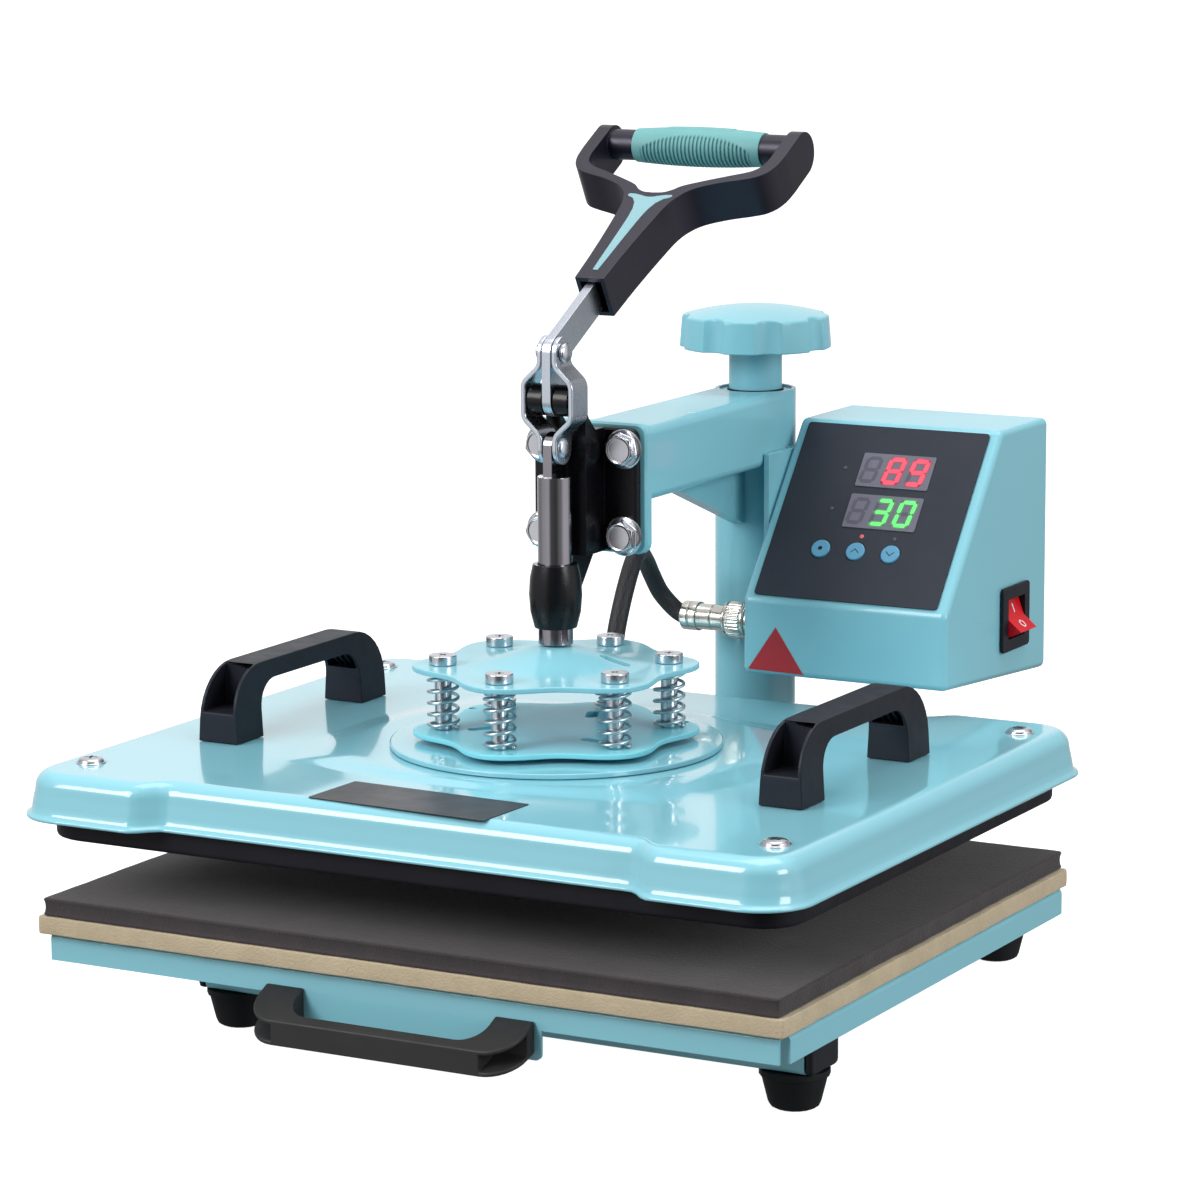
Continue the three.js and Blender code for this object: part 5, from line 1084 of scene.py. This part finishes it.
def insetOutline(points, radii, inset, steps=7):
    # each corner moves in along its bisector by inset / sin(half angle); an arc then rounds it,
    # with the corner's radius less the inset
    p = np.asarray(points, float)
    u, v = np.roll(p, 1, 0) - p, np.roll(p, -1, 0) - p
    u /= np.linalg.norm(u, axis=1)[:, None]
    v /= np.linalg.norm(v, axis=1)[:, None]
    middle = (u + v) / np.linalg.norm(u + v, axis=1)[:, None]
    half = np.arccos(np.clip((u * v).sum(1), -1, 1)) / 2
    r = np.maximum(np.asarray(radii, float) - inset, 0.3)
    centre = p + middle * ((inset + r) / np.sin(half))[:, None]
    corner = p + middle * (inset / np.sin(half))[:, None]
    start = corner + u * (r / np.tan(half))[:, None] - centre
    end = corner + v * (r / np.tan(half))[:, None] - centre
    s = np.linspace(0, 1, steps)[None, :, None]
    way = (1 - s) * start[:, None] + s * end[:, None]
    way *= r[:, None, None] / np.linalg.norm(way, axis=2)[:, :, None]
    return (centre[:, None] + way).reshape(-1, 2)


def makeBox(b):
    # rows run from the left face to the right one; the outline is inset where the two long edges bend round
    left, right, wall = b["left"], b["left"] + b["width"], b["wall"]
    bend = bendSteps(b["round"], 6)
    rows = []
    steps = [(left + way, inset) for way, inset in bend[::-1]] + [(right - way, inset) for way, inset in bend]
    for x, inset in steps:
        ring = insetOutline(b["outline"], b["corners"], inset) + (padY, 0)
        rows.append(np.c_[np.full(len(ring), x), ring])
    back, bottom, top = b["outline"][1][0], b["outline"][1][1], b["outline"][2][1]
    y0, y1, z0, z1 = b["window"]
    rear = roundedBox(left + wall, right - wall, back - b["recess"] + padY, back + 4 + padY, 0.5)
    window = roundedBox(right - wall - b["windowDeep"], right + 4, y0 + padY, y1 + padY, 0.3)
    hole = circle(24) * b["keyHole"]
    cutters = [prism("backCut", rear, bottom + wall + 0.3, top - wall), prism("windowCut", window, z0, z1)]
    cutters += [ontoPanel(prism("keyCut", hole + place, -b["keyDeep"], 3)) for place in press["keys"]]
    return cutWith(surface("boxShell", np.array(rows)), cutters)


carry(makeBox(box), "arm", paint, ["control_box"])
print("box made")


# Control panel: windows, digits, lamps and key marks, drawn flat in x and u and laid on the slope
panel = {
    "film": 1.12, "glassRise": 0.5, "windowX": (64.6, 103.0), "redU": (66.0, 84.7), "greenU": (42.9, 61.6),
    "shown": ("89", "30"), "digitX": (70.6, 83.0, 95.4), "digitWide": 9.0, "digitTall": 15.0, "bar": 2.0,
    "tip": 0.15, "glow": 1.3, "slant": 0.13, "dimRise": 0.03, "glowRise": 0.06, "litRise": 0.12,
    "lamps": [(56.5, 75.6, 0), (56.2, 52.5, 0), (76.6, 38.5, 1), (94.0, 38.4, 0)],
    "lens": [(0.05, -0.2), (1.15, -0.2), (1.1, 0.15), (0.7, 0.35), (0.05, 0.42)],
    "markSpan": (1.9, 2.02), "dot": 1.1,
    "arrow": [(-2.2, -1.15), (0, 0.95), (2.2, -1.15), (2.2, -0.5), (0, 1.6), (-2.2, -0.5)],
}
litBars = {"8": "abcdefg", "9": "abcdfg", "3": "abcdg", "0": "abcdef"}


def lozenge(half, thin, tip, spread):
    # a six-sided bar along x from its left tip; spread lets the shoulders reach further out
    end, shoulder = half - tip, half - thin + spread
    return np.array([(-end, 0), (-shoulder, -thin), (shoulder, -thin), (end, 0), (shoulder, thin),
                     (-shoulder, thin)])


def barOutline(kind, p, spread):
    # one bar of a seven-bar digit about the digit's middle, leaning to the right
    w, h, thin = (p["digitWide"] - p["bar"]) / 2, (p["digitTall"] - p["bar"]) / 4, p["bar"] / 2
    top = p["digitTall"] / 2 - thin
    tip, thin = p["tip"] - spread, thin + spread / 2
    flat = lozenge(w, thin, tip, spread)
    tall = lozenge(h, thin, tip, spread)[:, ::-1] * (-1, 1)
    shape, x, u = {
        "a": (flat, 0, top), "g": (flat, 0, 0), "d": (flat, 0, -top), "f": (tall, -w, top / 2),
        "b": (tall, w, top / 2), "e": (tall, -w, -top / 2), "c": (tall, w, -top / 2),
    }[kind]
    shape = shape + (x, u)
    return shape + np.c_[shape[:, 1] * p["slant"], np.zeros(6)]


def addDigit(label, digit, place, light, p):
    # the unlit bars lie lowest, the glow round lit bars above them and the lit bars on top
    face = p["film"] + p["glassRise"]

    def lay(label, kind, spread, rise, material):
        obj = prism(f"{label}_{kind}", barOutline(kind, p, spread) + place, face, face + rise)
        carry(ontoPanel(obj), "arm", material)

    for kind in "abcdefg":
        if light and kind in litBars[digit]:
            lay(label + "Glow", kind, p["glow"], p["glowRise"], light[1])
            lay(label, kind, 0, p["litRise"], light[0])
        else:
            lay(label, kind, 0, p["dimRise"], dimSegment)


def makePanel(p):
    film = p["film"]
    displays = (("temperature", p["redU"], p["shown"][0], (redLight, redGlow)),
                ("time", p["greenU"], p["shown"][1], (greenLight, greenGlow)))
    for name, span, (tens, ones), light in displays:
        window = roundedBox(*p["windowX"], *span, 0.8)
        glass = prism(name + "Window", window, film - 0.3, film + p["glassRise"], 0.12)
        carry(ontoPanel(glass), "arm", displayGlass)
        digits = (("Blank", "8", None), ("Tens", tens, light), ("Ones", ones, light))
        for x, (label, digit, shine) in zip(p["digitX"], digits):
            addDigit(name + label, digit, (x, sum(span) / 2), shine, p)
    for i, (x, u, lit) in enumerate(p["lamps"]):
        lens = lathed(f"lamp{i + 1}", np.array(p["lens"]) + (0, film), (x, u, 0), steps=24)
        carry(ontoPanel(lens), "arm", lampRed if lit else lampOff)


def addKeyMarks(p):
    # an arrow up, an arrow down and a dot, as flat near-black marks of painted shade for recesses
    def mark(body, outline):
        carry(ontoPanel(prism(body + "Mark", outline, *p["markSpan"])), body, recessShadeMark)

    for place, way, body in zip(press["keys"][1:], (1, -1), ("up_key", "down_key")):
        arrow = np.array(p["arrow"]) * (1, way) + (0, -0.2 * way)
        mark(body, arrow[::way] + place)
    mark("set_key", circle(24) * p["dot"] + press["keys"][0])


makePanel(panel)
addKeyMarks(panel)
print("panel made")


# Rocker marks: a bar on the upper half and a ring on the lower. Its face runs through three places, in x and
# z about the pivot, from the lower end over the middle to the upper end
rocker = {"x": 132.25, "y": padY + 215.3, "z": 175.4, "face": [(8.5, -5.83), (1.6, 0.0), (-1.6, 8.74)],
          "bar": (0.45, 2.3), "ring": (1.5, 2.3), "span": (-0.05, 0.08)}


def makeRockerMarks(r):
    (half, tall), (inner, outer), (under, over) = r["bar"], r["ring"], r["span"]
    bar = prism("rockerBar", [(-half, -tall), (half, -tall), (half, tall), (-half, tall)], under, over)
    ring = lathed("rockerRing", [(inner, under), (outer, under), (outer, over), (inner, over)], (0, 0, 0),
                  steps=32, caps=False)
    low, middle, high = np.array(r["face"])
    for obj, start, end in ((bar, middle, high), (ring, low, middle)):
        up = (end - start) / np.linalg.norm(end - start)
        x, z = (start + end) / 2 + (r["x"], r["z"])
        placeMesh(obj, (x, r["y"], z), (0, 1, 0), (up[0], 0, up[1]), (up[1], 0, -up[0]))
        carry(obj, "rocker", whiteMark)


makeRockerMarks(rocker)


# Plain plates: the blank dark plate on the cover and the blank red triangle on the box
blank = {"plateHalf": (46, 18.5), "plateTurn": -2.5, "plateMiddle": (-1, padY - 126.5),
         "plateSpan": (137.95, 138.35), "triangle": [(27.1, 153.7), (56.9, 153.2), (42.0, 175.3)],
         "triangleY": padY + 136.98, "triangleThick": 0.25}


def makeBlankPlates(b):
    hx, hy = b["plateHalf"]
    shape = turned(roundedBox(-hx, hx, -hy, hy, 1.0), math.radians(b["plateTurn"])) + b["plateMiddle"]
    carry(prism("blankPlate", shape, *b["plateSpan"], 0.1), "head", labelFilm)
    triangle = prism("blankTriangle", b["triangle"], 0, b["triangleThick"], 0.08)
    placeMesh(triangle, (0, b["triangleY"], 0), (1, 0, 0), (0, 0, 1), (0, -1, 0))
    carry(triangle, "arm", redFilm)


makeBlankPlates(blank)


# Cover screws: pan heads with a cross recess; the profile is (radius, height over the cover)
coverScrew = {"x": 174.5, "y": 127.5, "crossLow": 1.2, "crossReach": 3, "crossHalf": 0.55,
              "profile": [(0.1, -0.2), (6.9, -0.2), (6.9, 0.5), (6.0, 0.5), (6.0, 1.2), (5.2, 2.1),
                          (3.3, 2.6), (0.1, 2.75)]}


def makeCoverScrews(s):
    z = press["coverTop"]
    profile = rounded(np.array(s["profile"]) + (0, z), 0.4, 3)
    for i, (a, b) in enumerate([(-1, -1), (1, -1), (-1, 1), (1, 1)]):
        x, y = a * s["x"], b * s["y"] + padY
        head = lathed(f"coverScrew{i + 1}", profile, (x, y, 0), steps=40)
        turnBy = math.radians(25 + 40 * i)
        cross = crossCutter(x, y, z + s["crossLow"], z + 6, s["crossReach"], s["crossHalf"], turnBy)
        carry(cutWith(head, [cross]), "head", zinc)


makeCoverScrews(coverScrew)
print("small pieces made")


# Studio: white backdrop and floor, light and dim panels round the press, a bright ceiling, three soft lights
studio = {
    "backdrop": 1.03, "floorGlow": 0.98,
    # brightness round the press, from behind through the left, the camera's side at the middle, and the right
    "round": [(0.0, 0.9), (0.17, 0.45), (0.29, 0.75), (0.37, 0.85), (0.43, 0.15), (0.52, 0.1), (0.6, 0.35),
              (0.68, 0.95), (0.75, 0.9), (0.82, 0.3), (0.9, 0.4), (1.0, 0.9)],
    "height": [(0.0, 0.3), (0.28, 0.5), (0.42, 1.0), (0.72, 1.05), (0.85, 1.15)],
    "ceiling": [(0.45, 0.0), (0.8, 0.9)],
    "lights": [
        ("keyLight", (-1.2, -2.2, 1.6), 1.3, 52, (1, 1, 1)),
        ("topLight", (0.1, 0.2, 2.4), 1.8, 26, (1, 1, 1)),
        ("sideLight", (2.4, -0.5, 1.0), 1.0, 24, (0.97, 0.985, 1)),
    ],
}


def studioWorld(s):
    # seen directly the world is plain white; as light it is round(azimuth) times height(z), plus a ceiling
    world = bpy.data.worlds.new("studio")
    w = Wiring(world)

    def ramp(source, places):
        made = w.node("ValToRGB")
        made.color_ramp.interpolation = "EASE"
        for i, (at, value) in enumerate(places):
            stop = made.color_ramp.elements[i] if i < 2 else made.color_ramp.elements.new(at)
            stop.position = at
            stop.color = (value, value, value, 1)
        w.wire(source, made.inputs["Fac"])
        return made.outputs["Color"]

    def along(*axis):
        made = w.node("VectorMath", operation="DOT_PRODUCT")
        made.inputs[1].default_value = axis
        w.wire(direction, made.inputs[0])
        return made.outputs["Value"]

    def scaled(source, factor):
        # source times the factor plus a half
        made = w.node("Math", operation="MULTIPLY_ADD")
        made.inputs[1].default_value = factor
        made.inputs[2].default_value = 0.5
        w.wire(source, made.inputs[0])
        return made.outputs[0]

    def mix(first, second, way):
        made = w.node("Mix", data_type="RGBA", blend_type=way)
        made.inputs["Factor"].default_value = 1
        w.wire(first, made.inputs["A"])
        w.wire(second, made.inputs["B"])
        return made.outputs["Result"]

    direction = w.node("TexCoord").outputs["Generated"]
    turn = math.radians(camera["azimuth"])
    angle = w.node("Math", operation="ARCTAN2")
    w.wire(along(math.cos(turn), math.sin(turn), 0), angle.inputs[0])
    w.wire(along(math.sin(turn), -math.cos(turn), 0), angle.inputs[1])
    around = ramp(scaled(angle.outputs[0], 0.5 / math.pi), s["round"])
    height = ramp(scaled(along(0, 0, 1), 0.5), s["height"])
    lit = mix(around, height, "MULTIPLY")
    most = mix(lit, ramp(along(0, 0, 1), s["ceiling"]), "LIGHTEN")
    seen = w.node("Mix", data_type="RGBA")
    seen.inputs["B"].default_value = (s["backdrop"], s["backdrop"], s["backdrop"], 1)
    w.wire(w.node("LightPath").outputs["Is Camera Ray"], seen.inputs["Factor"])
    w.wire(most, seen.inputs["A"])
    w.wire(seen.outputs["Result"], w.tree.nodes["Background"].inputs["Color"])
    bpy.context.scene.world = world


def addStage(s):
    corners = np.array([(-9000, -9000, -0.5), (9000, -9000, -0.5), (9000, 9000, -0.5), (-9000, 9000, -0.5)])
    floor = meshFrom("floor", corners, [np.array([[0, 1, 2, 3]])], False)
    f = Finish("paleFloor")
    f.set(Roughness=0.8, Specular_IOR_Level=0.0, Emission_Strength=s["floorGlow"])
    f.shader.inputs["Emission Color"].default_value = (1, 1, 1, 1)
    f.colours(f.noise(0.6, 2), (0.30, 0.30, 0.30), (0.31, 0.31, 0.31))
    floor.data.materials.append(f.material)
    floor.visible_diffuse = False
    floor.visible_glossy = False
    studioWorld(s)
    for name, place, size, power, colour in s["lights"]:
        data = bpy.data.lights.new(name, "AREA")
        data.size = size
        data.energy = power
        data.color = colour
        obj = bpy.data.objects.new(name, data)
        obj.location = place
        aim = Vector((0, 0, 0.2)) - Vector(place)
        obj.rotation_euler = aim.to_track_quat("-Z", "Y").to_euler()
        bpy.context.scene.collection.objects.link(obj)


addStage(studio)
bpy.context.scene.view_settings.view_transform = "Standard"
print("stage set")
